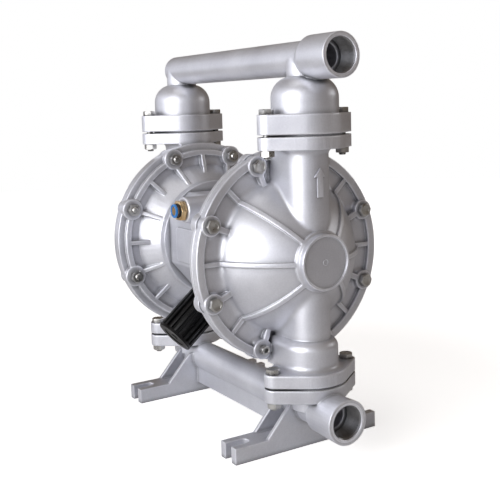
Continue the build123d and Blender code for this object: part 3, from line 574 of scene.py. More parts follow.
def copies(piece: bpy.types.Object, places: Iterable[Matrix], name: str) -> bpy.types.Object:
    """Copy a piece to many places, each copy with its own mesh, and join them.

    Args:
        piece: The piece, made at the origin. It is used up.
        places: Where each copy goes.
        name: The joined piece's name.

    Returns:
        The joined piece.
    """
    made = []
    for place in places:
        alone(piece)
        bpy.ops.object.duplicate()
        copy = bpy.context.active_object
        settle(copy, place)
        made.append(copy)
    bpy.data.objects.remove(piece)
    return join(made, name)


def aim(origin: Sequence[float], direction: Sequence[float], turn: float = 0.0) -> Matrix:
    """Give the placement that sends +Z along a direction.

    Args:
        origin: Where the piece's origin goes.
        direction: Where its +Z points.
        turn: Turn about its own axis, in degrees.

    Returns:
        The placement.
    """
    lean = Vector(direction).to_track_quat("Z", "Y").to_matrix().to_4x4()
    return Matrix.Translation(Vector(origin)) @ lean @ Matrix.Rotation(math.radians(turn), 4, "Z")


def fit_trim(
    piece: bpy.types.Object, surface: Surface, angle: float, finishes: Finishes
) -> None:
    """Finish a detail that the solids lack and fix it to the castings.

    Args:
        piece: The detail.
        surface: Its finish.
        angle: The angle past which its edges stay sharp, in degrees.
        finishes: The finishes.
    """
    smooth(piece, angle)
    finishes.dress(piece, surface)
    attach(piece, "casing")


# Castings


@dataclass(frozen=True)
class DomeFillets:
    """The places on an outer chamber that the mould rounds broadly.

    Attributes:
        arc_x: Centre of the dome's arc along X.
        arc_out: The same, outwards from the rod.
        arc: Radius of the arc.
        riser: Distance of the risers' axis from the pump's middle.
        upper: Radius of the upper riser.
        lower: Radius of the lower riser.
        hub: Radius out to which the hub keeps its edges.
        reach: How far from the corner the risers' fillet reaches.
        foot: Radii between which the dome's foot turns into the pocket's floor.
        pocket: Height of the pocket's floor, from the pump's middle.
        webs: Angles of the ribs and of the wedges behind the screws.
        web: Half the width that they keep.
        web_fade: Distance from them over which the cove comes in.
        crown: Distance from the pump's middle from which the risers are rounded.
        rib: Half the width that the dome's slanting ribs keep, across the diagonal.
        rib_fade: Distance from them over which the risers' fillet comes in.
        cove_rise: Height over the pocket's floor up to which the cove leaves the dome.
        cove_fades: How far in from its inner and outer radius the cove comes in.
        skin: Thickness that still counts as the dome's face.
        floor_skin: Thickness that still counts as the pocket's floor.
        riser_room: Clearance of the cove from the upper riser.
    """

    arc_x: float = 0.06347
    arc_out: float = -0.03353
    arc: float = 0.15907
    riser: float = 0.176
    upper: float = 0.030
    lower: float = 0.028
    hub: float = 0.043
    reach: float = 0.013
    foot: tuple[float, float] = (0.099, 0.1345)
    pocket: float = 0.130
    webs: tuple[float, ...] = (
        *(0.0, 45.0, 135.0, 180.0, 225.0, 315.0),
        *(22.5, 67.5, 112.5, 157.5, 202.5, 247.5, 292.5, 337.5),
    )
    web: float = 0.0045
    web_fade: float = 0.005
    crown: float = 0.134
    rib: float = 0.005
    rib_fade: float = 0.004
    cove_rise: float = 0.0065
    cove_fades: tuple[float, float] = (0.006, 0.003)
    skin: float = 0.002
    floor_skin: float = 0.001
    riser_room: float = 0.010

    def off_dome(self, x: float, out: float) -> float:
        """Tell how far a point is from the dome's face.

        Args:
            x: The point's distance from the pump's middle.
            out: Its distance from the rod's axis.

        Returns:
            The distance.
        """
        return abs(math.hypot(x - self.arc_x, out - self.arc_out) - self.arc)

    def clear_of_webs(self, y: float, z: float) -> float:
        """Tell how far a point is from the nearest rib or wedge.

        Args:
            y: The point's place along Y.
            z: Its height over the rod.

        Returns:
            0 beside a rib, rising to 1 away from it.
        """
        nearest = 1.0
        for angle in map(math.radians, self.webs):
            along = y * math.cos(angle) + z * math.sin(angle)
            across = abs(z * math.cos(angle) - y * math.sin(angle))
            if along > 0:
                nearest = min(nearest, (across - self.web) / self.web_fade)
        return max(0.0, nearest)

    def riser_share(self, x: float, y: float, z: float) -> float:
        """Tell how much a point takes part in the risers' fillet.

        Args:
            x: The point's distance from the pump's middle.
            y: Its place along Y.
            z: Its height over the rod.

        Returns:
            1 in the corner, falling to 0 at the fillet's reach.
        """
        out = math.hypot(y, z)
        if x < self.crown or out < self.hub:
            return 0.0
        across = abs(y) if x < self.riser else math.hypot(x - self.riser, y)
        wall = abs(across - (self.upper if z > 0 else self.lower))
        off_rib = (abs(abs(y) - abs(z)) - self.rib) / self.rib_fade
        near = max(0.0, 1.0 - max(self.off_dome(x, out), wall) / self.reach)
        return min(1.0, max(0.0, off_rib)) * near

    def foot_share(self, x: float, y: float, z: float) -> float:
        """Tell how much a point takes part in the cove at the dome's foot.

        Args:
            x: The point's distance from the pump's middle.
            y: Its place along Y.
            z: Its height over the rod.

        Returns:
            1 in the cove, falling to 0 at its edges and beside the ribs.
        """
        out = math.hypot(y, z)
        low, high = self.foot
        if not low < out < high or abs(y) < self.upper + self.riser_room:
            return 0.0
        over_floor = x - self.pocket
        if over_floor < -self.floor_skin:
            return 0.0
        if over_floor > self.cove_rise and self.off_dome(x, out) > self.skin:
            return 0.0
        inner, outer = self.cove_fades
        window = min(1.0, (out - low) / inner, (high - out) / outer)
        return window * self.clear_of_webs(y, z)


DOME_FILLETS = DomeFillets()


@dataclass
class Castings:
    """The silver castings, with the edges and fillets that the mould gives them.

    Attributes:
        grids: Spacing of the points on each casting's skin, in metres.
        most_triangles: Triangles that each casting may have.
        rounding: Passes of smoothing, which round the edges.
        filleting: Further passes in the broad fillets of the domes.
        port_bore: Radius of the port bores in the solids.
        port_room: Radius that the thread pieces need there.
        port_start: Where the threads start, along X.
        port_slack: How far a point of the bore may lie from its radius.
        most_fill: The share of the remesher's cube that a solid may fill.
    """

    grids: dict[str, float] = field(
        default_factory=lambda: {
            "outer_chamber_right": 0.00125,
            "outer_chamber_left": 0.00125,
            "inner_chamber_right": 0.0013,
            "inner_chamber_left": 0.0013,
            "center_body": 0.0012,
            "discharge_manifold": 0.00125,
            "suction_manifold": 0.00125,
            "air_valve_body": 0.0009,
            "air_valve_cap_right": 0.0005,
            "air_valve_cap_left": 0.0005,
        }
    )
    most_triangles: int = 180000
    rounding: int = 2
    filleting: int = 80
    port_bore: float = 0.0224
    port_room: float = 0.0243
    port_start: float = 0.224
    port_slack: float = 0.0003
    most_fill: float = 0.99

    def soften(self, node: bpy.types.Object, name: str, grid: float) -> bpy.types.Object:
        """Copy a solid and round it as a casting is.

        Args:
            node: The solid.
            name: Its name.
            grid: Spacing of the skin's points.

        Returns:
            The cast skin.
        """
        alone(node)
        bpy.ops.object.duplicate()
        skin = bpy.context.active_object
        skin.name = name + "_cast"
        bpy.ops.object.mode_set(mode="EDIT")
        bpy.ops.mesh.select_all(action="SELECT")
        bpy.ops.mesh.remove_doubles(threshold=SOLID_MERGE_DISTANCE)
        bpy.ops.object.mode_set(mode="OBJECT")
        self.widen_port(skin, name)
        span = max(skin.dimensions) / grid
        depth = math.ceil(math.log2(span))
        modify(
            skin,
            "REMESH",
            mode="SHARP",
            octree_depth=depth,
            scale=min(self.most_fill, span / 2**depth),
            use_remove_disconnected=False,
        )
        if name.startswith("outer_chamber"):
            self.fillet_dome(skin, 1 if name.endswith("right") else -1)
        modify(skin, "SMOOTH", factor=0.5, iterations=self.rounding)
        triangles = 2 * len(skin.data.polygons)
        if triangles > self.most_triangles:
            modify(skin, "DECIMATE", ratio=self.most_triangles / triangles)
        alone(skin)
        bpy.ops.object.shade_smooth()
        return skin

    def fillet_dome(self, skin: bpy.types.Object, side: int) -> None:
        """Round the dome broadly where its risers grow out and at its foot.

        Args:
            skin: The outer chamber's skin.
            side: 1 for the right chamber and -1 for the left one.
        """
        group = skin.vertex_groups.new(name="fillets")
        for point in skin.data.vertices:
            x, y, z = side * point.co.x, point.co.y, point.co.z - ROD_HEIGHT
            share = max(DOME_FILLETS.riser_share(x, y, z), DOME_FILLETS.foot_share(x, y, z))
            if share > 0:
                group.add([point.index], share, "REPLACE")
        modify(skin, "SMOOTH", factor=0.5, iterations=self.filleting, vertex_group=group.name)

    def widen_port(self, skin: bpy.types.Object, name: str) -> None:
        """Open a manifold's port to the thread's root radius.

        Args:
            skin: The copy of the solid.
            name: The solid's name.
        """
        if name not in PORT_HEIGHTS:
            return
        height = PORT_HEIGHTS[name]

        def on_bore(place: Vector) -> bool:
            """Tell whether a point lies on the port's bore."""
            radius = math.hypot(place.y, place.z - height)
            return place.x > self.port_start and abs(radius - self.port_bore) < self.port_slack

        pick_points(skin, on_bore)
        share = self.port_room / self.port_bore
        bpy.ops.transform.resize(value=(1, share, share), center_override=(0, 0, height))
        bpy.ops.object.mode_set(mode="OBJECT")

    def build(self, frame: dict[str, object], finishes: Finishes) -> None:
        """Make every casting's skin and put it in the solid's place.

        Args:
            frame: The loaded model.
            finishes: The finishes.
        """
        for name, grid in self.grids.items():
            skin = self.soften(frame["nodes"][name], name, grid)
            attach(skin, "casing")
            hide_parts(name)
            finishes.dress(skin, Surface.SILVER_CASTING)
            log.info("cast %s: %d faces", name, len(skin.data.polygons))


# Hardware


@dataclass(frozen=True)
class Metric:
    """Sizes of one metric thread and of its heads, in metres.

    Attributes:
        shank: Radius of the shank.
        root: Radius at the bottom of the thread.
        pitch: Pitch of the thread.
        flats: Distance across a hexagon head's flats.
        head: Height of a hexagon head.
        nut: Height of a nut.
        cap_radius: Radius of a socket head.
        cap: Height of a socket head.
        key: Distance across the socket's flats.
    """

    shank: float
    root: float
    pitch: float
    flats: float = 0.0
    head: float = 0.0
    nut: float = 0.0
    cap_radius: float = 0.0
    cap: float = 0.0
    key: float = 0.0


M10 = Metric(0.005, 0.0043, 0.0015, flats=0.017, head=0.007, nut=0.0084)
M8 = Metric(0.004, 0.0034, 0.00125, cap_radius=0.0065, cap=0.008, key=0.006)
M5 = Metric(0.0025, 0.0021, 0.0008, cap_radius=0.00425, cap=0.005, key=0.004)


@dataclass
class Fasteners:
    """Screws and nuts, each modelled once and copied to its places.

    Attributes:
        thread_out: Thread that stands out of a nut.
        circle: Radius of the chamber screws' circle about the rod.
        ring_face: Face of the chamber ring's bosses, from the pump's middle.
        back_face: Face under the chamber nuts.
        caps: Which of the eight places on the circle take socket heads.
        plate_places: Places of the manifold screws, as X and Y.
        joints: Upper and lower face of each manifold joint, as heights.
        hub_circle: Radius of the circle of the screws inside the inner chambers.
        hub_face: Face under their heads, from the pump's middle.
        hub_grip: Length of their shanks.
        mount_face: Face under the heads of the air valve's mounting screws, along Y.
        mount_spread: Their distance from the valve's middle, along X and Z.
        mount_grip: Length of their shanks.
        cap_face: Face under the heads of the end caps' screws, from the pump's middle.
        cap_axis: Where the air valve's axis lies, along Y.
        cap_spread: Distance of the end caps' screws from that axis, along Y and Z.
        cap_grip: Length of their shanks.
        crown_share: Share of the flats left flat on top of a hexagon.
        dish: Lower and upper radius of the dish in a hexagon head.
        mouth: Inner and outer radius of the countersink in a nut.
        countersink: Depth of that countersink.
        bevel: Width of the rounding on a hexagon's edges.
        skim: How far a tool stands out of what it cuts.
        flare: How much wider than a hexagon its tool is, below corners that stay.
        over: How far a tool stands out of a face that it cuts away.
        point: Length of the chamfer at a shank's end.
    """

    thread_out: float = 0.003
    circle: float = 0.135
    ring_face: float = 0.1385
    back_face: float = 0.110
    caps: tuple[int, ...] = (5, 6)
    plate_places: tuple[tuple[float, float], ...] = (
        (0.176, -0.0605),
        (0.176, 0.0605),
        (-0.176, -0.0605),
        (-0.176, 0.0605),
    )
    joints: dict[str, tuple[float, float]] = field(
        default_factory=lambda: {"discharge": (0.4565, 0.4105), "suction": (0.1155, 0.0775)}
    )
    hub_circle: float = 0.062
    hub_face: float = 0.087
    hub_grip: float = 0.026
    mount_face: float = 0.124
    mount_spread: tuple[float, float] = (0.04, 0.027)
    mount_grip: float = 0.058
    cap_face: float = 0.058
    cap_axis: float = 0.103
    cap_spread: float = 0.0145
    cap_grip: float = 0.020
    crown_share: float = 0.97
    dish: tuple[float, float] = (0.0058, 0.0068)
    mouth: tuple[float, float] = (0.0052, 0.0062)
    countersink: float = 0.0006
    bevel: float = 0.00022
    skim: float = 0.0001
    flare: float = 0.0003
    over: float = 0.001
    point: float = 0.0006

    def chamfered_hexagon(self, name: str, height: float, both: bool) -> bpy.types.Object:
        """Make an M10 hexagon with its corners turned off, standing on the origin.

        Args:
            name: The piece's name.
            height: Its height.
            both: Whether the lower corners are turned off too.

        Returns:
            The hexagon.
        """
        hexagon = hexagon_bar(name, M10.flats, height)
        corner = M10.flats / math.sqrt(3)
        flat = M10.flats / 2 * self.crown_share
        drop = (corner - flat) * math.tan(math.radians(30))
        wide = corner + self.skim
        steps = [(-self.skim, flat), (drop, wide)]
        if not both:
            steps = [(-self.skim, corner + self.flare), (0.0, wide)]
        steps += [(height - drop, wide), (height + self.skim, flat)]
        carve(hexagon, lathe("turned_off", steps), keep_inside=True)
        return hexagon

    def threaded_shank(
        self, size: Metric, top: float, bottom: float, threaded: float
    ) -> bpy.types.Object:
        """Turn a shank along Z with thread grooves at its lower end.

        Args:
            size: The thread's sizes.
            top: Height of its upper end.
            bottom: Height of its lower end.
            threaded: Length of thread.

        Returns:
            The shank.
        """
        low = bottom + self.point
        steps = [(bottom, size.root - 0.0004), (low, size.root + 0.0002)]
        for turn in range(int(threaded / size.pitch)):
            start = low + turn * size.pitch
            steps.append((start + 0.5 * size.pitch, size.shank))
            steps.append((start + size.pitch, size.root))
        steps += [(steps[-1][0] + self.point, size.shank), (top, size.shank)]
        return lathe("shank", steps, 24)

    def hex_screw(self, grip: float) -> bpy.types.Object:
        """Make an M10 hexagon screw with its bearing face on the origin and its shank downwards.

        Args:
            grip: Distance from the bearing face to the shank's end.

        Returns:
            The screw.
        """
        head = self.chamfered_hexagon("hex_head", M10.head, False)
        deep, wide = self.dish
        steps = [(M10.head - 0.0004, deep), (M10.head + self.over, wide)]
        carve(head, lathe("head_dish", steps, 32))
        break_edges(head, self.bevel)
        return join([head, self.threaded_shank(M10, self.over, -grip, 0.016)], "hex_screw")

    def cap_screw(self, size: Metric, grip: float) -> bpy.types.Object:
        """Make a socket head screw with its bearing face on the origin.

        Args:
            size: The screw's sizes.
            grip: Distance from the bearing face to the shank's end.

        Returns:
            The screw.
        """
        rim = size.cap_radius * 0.09
        mouth = size.key / math.sqrt(3)
        steps = [(0.0, size.cap_radius), (size.cap - rim, size.cap_radius)]
        steps += [(size.cap, size.cap_radius - rim)]
        steps += [(size.cap, mouth + 0.0003), (size.cap - 0.0003, mouth)]
        head = lathe("cap_head", steps, 60)
        depth = 0.75 * size.cap
        bpy.ops.mesh.primitive_cylinder_add(
            vertices=6, radius=mouth, depth=depth, location=(0, 0, size.cap + 0.0005 - depth / 2)
        )
        carve(head, bpy.context.active_object)
        return join([head, self.threaded_shank(size, self.over, -grip, 0.6 * grip)], "cap_screw")

    def hex_nut(self) -> bpy.types.Object:
        """Make an M10 nut with its bearing face on the origin and its body upwards.

        Returns:
            The nut.
        """
        nut = self.chamfered_hexagon("hex_nut", M10.nut, True)
        bore, mouth = self.mouth
        steps = [(-self.over, mouth), (self.countersink, bore)]
        steps += [(M10.nut - self.countersink, bore), (M10.nut + self.over, mouth)]
        carve(nut, lathe("nut_bore", steps, 32))
        break_edges(nut, self.bevel)
        return nut

    def circle_places(
        self, side: int, x: float, out: int, angles: Iterable[float], radius: float
    ) -> list[Matrix]:
        """Give places on a circle about the rod.

        Args:
            side: 1 for the right chamber and -1 for the left one.
            x: Distance from the pump's middle.
            out: 1 to point away from the middle and -1 towards it.
            angles: Angles in degrees, from +Y towards +Z.
            radius: The circle's radius.

        Returns:
            The placements.
        """
        places = []
        for angle in angles:
            y, z = radius * math.cos(math.radians(angle)), radius * math.sin(math.radians(angle))
            # Tightened screws stop at different turns, so each one is turned its own way
            places.append(aim((side * x, y, ROD_HEIGHT + z), (side * out, 0, 0), 0.38 * angle))
        return places

    def seat(self, piece: bpy.types.Object, node: str, finishes: Finishes) -> None:
        """Finish a piece and put it in its solids' place.

        Args:
            piece: The piece.
            node: The solids' name.
            finishes: The finishes.
        """
        smooth(piece, 30)
        finishes.dress(piece, Surface.STAINLESS)
        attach(piece, "casing")
        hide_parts(node)

    def chamber_side(self, side: int, word: str, finishes: Finishes) -> None:
        """Fit the screws round one chamber and inside its hub.

        Args:
            side: 1 for the right chamber and -1 for the left one.
            word: The side's name.
            finishes: The finishes.
        """
        grip = self.ring_face - self.back_face + M10.nut + self.thread_out
        angles = [22.5 + 45 * index for index in range(8)]
        cap_angles = [angles[index] for index in self.caps]
        hex_angles = [angle for angle in angles if angle not in cap_angles]
        hub_angles = [60.0 * index for index in range(6)]
        socket = self.cap_screw
        ring_circle = (self.ring_face, 1, self.circle)
        back_circle = (self.back_face, -1, self.circle)
        hub_circle = (self.hub_face, 1, self.hub_circle)
        made = [
            ("chamber_bolts_", self.hex_screw(grip), ring_circle, hex_angles),
            ("chamber_nuts_", self.hex_nut(), back_circle, hex_angles),
            (
                "chamber_socket_screws_",
                socket(M8, self.ring_face - self.back_face),
                ring_circle,
                cap_angles,
            ),
            ("hub_screws_", socket(M8, self.hub_grip), hub_circle, hub_angles),
        ]
        for node, piece, (x, out, radius), wanted in made:
            places = self.circle_places(side, x, out, wanted, radius)
            self.seat(copies(piece, places, node + word + "_fitted"), node + word, finishes)

    def manifold_joint(self, joint: str, finishes: Finishes) -> None:
        """Fit the screws of both flanges of one manifold.

        Args:
            joint: "discharge" or "suction".
            finishes: The finishes.
        """
        upper, lower = self.joints[joint]
        grip = upper - lower + M10.nut + self.thread_out

        made = [
            ("_bolts", self.hex_screw(grip), upper, 1, 8),
            ("_nuts", self.hex_nut(), lower, -1, 20),
        ]
        for node, piece, height, up, turn in made:
            places = [
                aim((x, y, height), (0, 0, up), turn + 23 * index)
                for index, (x, y) in enumerate(self.plate_places)
            ]
            self.seat(copies(piece, places, joint + node + "_fitted"), joint + node, finishes)

    def air_valve(self, finishes: Finishes) -> None:
        """Fit the air valve's mounting screws and the screws of its end caps.

        Args:
            finishes: The finishes.
        """
        across, rise = self.mount_spread
        mounts = [
            aim((x, self.mount_face, ROD_HEIGHT + z), (0, 1, 0), 11 + x * 500)
            for x in (-across, across)
            for z in (-rise, rise)
        ]
        spread = (-self.cap_spread, self.cap_spread)
        ends = []
        for side in (-1, 1):
            for y in spread:
                for z in spread:
                    place = (side * self.cap_face, self.cap_axis + y, ROD_HEIGHT + z)
                    ends.append(aim(place, (side, 0, 0), 7 + z * 900))
        made = [
            (self.cap_screw(M8, self.mount_grip), mounts, "valve_mount_screws"),
            (self.cap_screw(M5, self.cap_grip), ends, "valve_cap_screws"),
        ]
        for piece, places, node in made:
            self.seat(copies(piece, places, node + "_fitted"), node, finishes)

    def build(self, finishes: Finishes) -> None:
        """Fit every screw and nut.

        Args:
            finishes: The finishes.
        """
        for side, word in SIDES:
            self.chamber_side(side, word, finishes)
        for joint in self.joints:
            self.manifold_joint(joint, finishes)
        self.air_valve(finishes)
        log.info("screws and nuts fitted")


@dataclass
class PortThreads:
    """The pipe threads inside the liquid ports.

    Attributes:
        crest: Radius at the thread's crest, the smallest.
        root: Radius at its root.
        pitch: Its pitch, 11 threads to the inch.
        mouth: Where the port opens, along X.
        length: Length of thread.
        steps: Steps in one turn.
        wall: Thickness of the thread piece.
        recess: How far inside the mouth the thread starts.
        run_out: Length without thread at its inner end.
        chamfer: Radius of the chamfer at the face and at its inner end.
        lip_out: Radius of the lip's rounded outer edge.
        lip_depth: Thickness of the lip.
    """

    crest: float = 0.0224
    root: float = 0.0239
    pitch: float = 0.002309
    mouth: float = 0.257
    length: float = 0.032
    steps: int = 40
    wall: float = 0.0006
    recess: float = 0.002
    run_out: float = 0.003
    chamfer: tuple[float, float] = (0.0236, 0.0228)
    lip_out: float = 0.0265
    lip_depth: float = 0.003

    def thread(self, name: str, height: float) -> bpy.types.Object:
        """Wind the thread of one port.

        Args:
            name: The piece's name.
            height: Height of the port's axis.

        Returns:
            The thread.
        """
        turns = int((self.length - self.run_out) / self.pitch)
        bpy.ops.mesh.primitive_plane_add(size=0.001, location=(0, 0, 0))
        thread = bpy.context.active_object
        thread.name = name
        profile = [(self.root, 0.0), (self.crest, self.pitch / 2)]
        profile += [(self.crest, self.pitch * 0.6), (self.root, self.pitch)]
        thread.data.clear_geometry()
        points = [(radius, 0, height_up) for radius, height_up in profile]
        thread.data.from_pydata(points, [(0, 1), (1, 2), (2, 3)], [])
        modify(
            thread,
            "SCREW",
            axis="Z",
            angle=2 * math.pi,
            screw_offset=self.pitch,
            iterations=turns,
            steps=self.steps,
            render_steps=self.steps,
            use_merge_vertices=True,
            merge_threshold=MERGE_DISTANCE,
        )
        modify(thread, "SOLIDIFY", thickness=self.wall, offset=1.0)
        settle(thread, aim((self.mouth - self.recess, 0, height), (-1, 0, 0)))
        return thread

    def lip(self, name: str, height: float) -> bpy.types.Object:
        """Turn the flat face round the mouth, with its chamfer into the thread.

        Args:
            name: The piece's name.
            height: Height of the port's axis.

        Returns:
            The lip.
        """
        wide, narrow = self.chamfer
        edge = 0.0003
        steps = [(0.0, wide), (0.0, self.lip_out - edge), (edge, self.lip_out)]
        steps += [(self.lip_depth, self.lip_out), (self.lip_depth, narrow + 0.0004)]
        lip = ring(name, [*steps, (0.0012, narrow), (0.0008, narrow)], 96)
        settle(lip, aim((self.mouth, 0, height), (-1, 0, 0)))
        return lip

    def build(self, finishes: Finishes) -> None:
        """Cut both ports' threads.

        Args:
            finishes: The finishes.
        """
        for manifold, height in PORT_HEIGHTS.items():
            name = manifold.replace("manifold", "port_thread")
            lip = self.lip(manifold.replace("manifold", "port_lip"), height)
            fit_trim(lip, Surface.SILVER_CASTING, 25, finishes)
            fit_trim(self.thread(name, height), Surface.TURNED_ALUMINIUM, 25, finishes)
            log.info("%s wound", name)


@dataclass
class FlowArrow:
    """The raised arrow cast on each upper riser, which shows the way the liquid goes.

    Attributes:
        riser: Distance of the riser's axis from the pump's middle.
        radius: Radius of the riser.
        rise: How far the arrow stands proud.
        foot: Height of its lower end.
        neck: Height of its head's lower edge.
        tip: Height of its tip.
        shaft: Half the width of its shaft.
        barb: Half the width of its head.
        sunk: How deep the blank starts under the riser's skin.
        blank: Thickness of the blank that the arrow is cut from.
        over: How far the cutting curve stands past the arrow's ends.
    """

    riser: float = 0.176
    radius: float = 0.030
    rise: float = 0.0020
    foot: float = 0.3476
    neck: float = 0.374
    tip: float = 0.386
    shaft: float = 0.0045
    barb: float = 0.0086
    sunk: float = 0.006
    blank: float = 0.012
    over: float = 0.01

    def arrow(self, name: str, side: int) -> bpy.types.Object:
        """Cut one arrow to the riser's curve.

        Args:
            name: The piece's name.
            side: 1 for the right riser and -1 for the left one.

        Returns:
            The arrow.
        """
        outline = [(-self.shaft, self.foot), (self.shaft, self.foot), (self.shaft, self.neck)]
        outline += [(self.barb, self.neck), (0.0, self.tip), (-self.barb, self.neck)]
        outline += [(-self.shaft, self.neck)]
        start = side * (self.riser + self.radius - self.sunk)
        bpy.ops.mesh.primitive_plane_add(size=0.01, location=(0, 0, 0))
        arrow = bpy.context.active_object
        arrow.name = name
        arrow.data.clear_geometry()
        points = [(start, y, z) for y, z in outline]
        arrow.data.from_pydata(points, [], [tuple(range(len(points)))])
        bpy.ops.object.mode_set(mode="EDIT")
        bpy.ops.mesh.select_all(action="SELECT")
        outwards = (side * self.blank, 0, 0)
        bpy.ops.mesh.extrude_region_move(TRANSFORM_OT_translate={"value": outwards})
        bpy.ops.mesh.select_all(action="SELECT")
        bpy.ops.mesh.normals_make_consistent(inside=False)
        bpy.ops.object.mode_set(mode="OBJECT")
        proud = self.radius + self.rise
        steps = [(self.foot - self.over, proud), (self.tip + self.over, proud)]
        curve = lathe("riser_curve", steps, 120)
        settle(curve, Matrix.Translation((side * self.riser, 0, 0)))
        carve(arrow, curve, keep_inside=True)
        break_edges(arrow, 0.0003, 40)
        return arrow

    def build(self, finishes: Finishes) -> None:
        """Put an arrow on both upper risers.

        Args:
            finishes: The finishes.
        """
        for side, word in SIDES:
            arrow = self.arrow("flow_arrow_" + word, side)
            fit_trim(arrow, Surface.SILVER_CASTING, 30, finishes)
        log.info("flow arrows cut")


def centre_marks(finishes: Finishes) -> None:
    """Put the small round mark of the lathe centre on both hub faces.

    Args:
        finishes: The finishes.
    """
    hub_face = 0.2155
    sunk, crown = -0.001, 0.0006
    steps = [(sunk, 0.0028), (sunk, 0.0046), (crown / 2, 0.0043)]
    steps += [(crown, 0.0038), (crown / 2, 0.0031)]
    for side, word in SIDES:
        mark = ring("hub_mark_" + word, steps, 32)
        settle(mark, aim((side * hub_face, 0, ROD_HEIGHT), (side, 0, 0)))
        fit_trim(mark, Surface.SILVER_CASTING, 40, finishes)
    log.info("hub marks cut")


@dataclass
class AirFitting:
    """The push-in air fitting: brass hexagon, seal ring and blue release collet.

    Attributes:
        face: Where the fitting starts, along Y.
        height: Height of its axis.
        flats: Distance across the hexagon's flats.
        hexagon: Height of the hexagon.
        ring: Height of the black ring.
        gap: Travel of the collet.
        flange: Thickness of the collet's flange.
        bore: Radius of the tube's way in.
        shank: Radius and length of the part that is screwed into the boss.
        collar: Radius of the ring that stands out of the hexagon.
        pocket: Radius and depth of the pocket that holds the collet.
        tube: Radius and depth of the seat for the tube's end.
        passage: Radius of the air's way in.
        drill: Radius of the hole through the hexagon, which the neck fills.
        ring_out: Radius of the black ring.
        sleeve: Radius of the collet's sleeve, and how deep it reaches in.
        collet_out: Radius of the collet's flange.
    """

    face: float = -0.095
    height: float = 0.321
    flats: float = 0.027
    hexagon: float = 0.009
    ring: float = 0.002
    gap: float = 0.0018
    flange: float = 0.003
    bore: float = 0.0061
    shank: tuple[float, float] = (0.0104, 0.010)
    collar: float = 0.009
    pocket: tuple[float, float] = (0.00755, 0.0083)
    tube: tuple[float, float] = (0.00605, 0.009)
    passage: float = 0.0045
    drill: float = 0.0085
    ring_out: float = 0.0104
    sleeve: tuple[float, float] = (0.0074, 0.0065)
    collet_out: float = 0.010

    def place(self) -> Matrix:
        """Give the placement of the fitting's axis, from the boss outwards."""
        return aim((0, self.face, self.height), (0, -1, 0))

    def body(self) -> bpy.types.Object:
        """Make the brass body, with its hexagon's corners turned off.

        Returns:
            The body.
        """
        body = hexagon_bar("fitting_body", self.flats, self.hexagon)
        corner, flat = self.flats / math.sqrt(3), self.flats / 2 * 0.98
        skim, chamfer = 0.0001, 0.0009
        steps = [(-skim, flat), (chamfer, corner)]
        steps += [(self.hexagon - chamfer, corner), (self.hexagon + skim, flat)]
        carve(body, lathe("fitting_turned", steps, 64), keep_inside=True)
        break_edges(body, 0.0003)
        top = self.hexagon + self.ring
        shank, length = self.shank
        pocket, pocket_depth = self.pocket
        tube, tube_depth = self.tube
        floor = top - pocket_depth
        steps = [(-length, shank), (-0.0005, shank), (0.0, 0.0096)]
        steps += [(self.hexagon, self.collar), (top, self.collar), (top, pocket), (floor, pocket)]
        steps += [(floor, tube), (floor - tube_depth, tube)]
        steps += [(floor - tube_depth, self.passage), (-length, self.passage)]
        neck = ring("fitting_neck", steps)
        bpy.ops.mesh.primitive_cylinder_add(
            vertices=48, radius=self.drill, depth=0.03, location=(0, 0, 0)
        )
        carve(body, bpy.context.active_object)
        join([body, neck], "fitting_body")
        settle(body, self.place())
        return body

    def seal(self) -> bpy.types.Object:
        """Make the black ring between the hexagon and the collet.

        Returns:
            The ring.
        """
        low, high, out = self.hexagon, self.hexagon + self.ring, self.ring_out
        inner = self.collar + 0.00005
        steps = [(low, inner), (low, out - 0.0005), (low + 0.0005, out)]
        steps += [(high - 0.0006, out), (high, out - 0.0006), (high, inner)]
        seal = ring("fitting_seal", steps)
        settle(seal, self.place())
        return seal

    def collet(self) -> bpy.types.Object:
        """Make the blue collet, with its rounded flange and its sleeve.

        Returns:
            The collet.
        """
        sleeve, reach = self.sleeve
        foot = self.hexagon + self.ring - reach
        low = self.hexagon + self.ring + self.gap
        high = low + self.flange
        out = self.collet_out
        steps = [(foot, self.bore), (foot, sleeve), (low, sleeve)]
        steps += [(low, out - 0.0004), (low + 0.0004, out)]
        steps += [(high - 0.0010, out), (high - 0.0003, out - 0.0003), (high, out - 0.0010)]
        steps += [(high, self.bore + 0.0010), (high - 0.0006, self.bore + 0.0003)]
        steps += [(high - 0.0016, self.bore)]
        collet = ring("collet_ring", steps)
        settle(collet, self.place())
        return collet

    def build(self, finishes: Finishes) -> None:
        """Screw the fitting in.

        Args:
            finishes: The finishes.
        """
        parts = [
            (self.body(), "inlet_fitting", Surface.BRASS, "casing"),
            (self.seal(), "fitting_ring", Surface.NITRILE, "casing"),
            (self.collet(), "release_collet", Surface.BLUE_ACETAL, "collet"),
        ]
        for piece, node, surface, body in parts:
            smooth(piece, 30)
            finishes.dress(piece, surface)
            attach(piece, body)
            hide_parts(node)
        log.info("air fitting fitted")


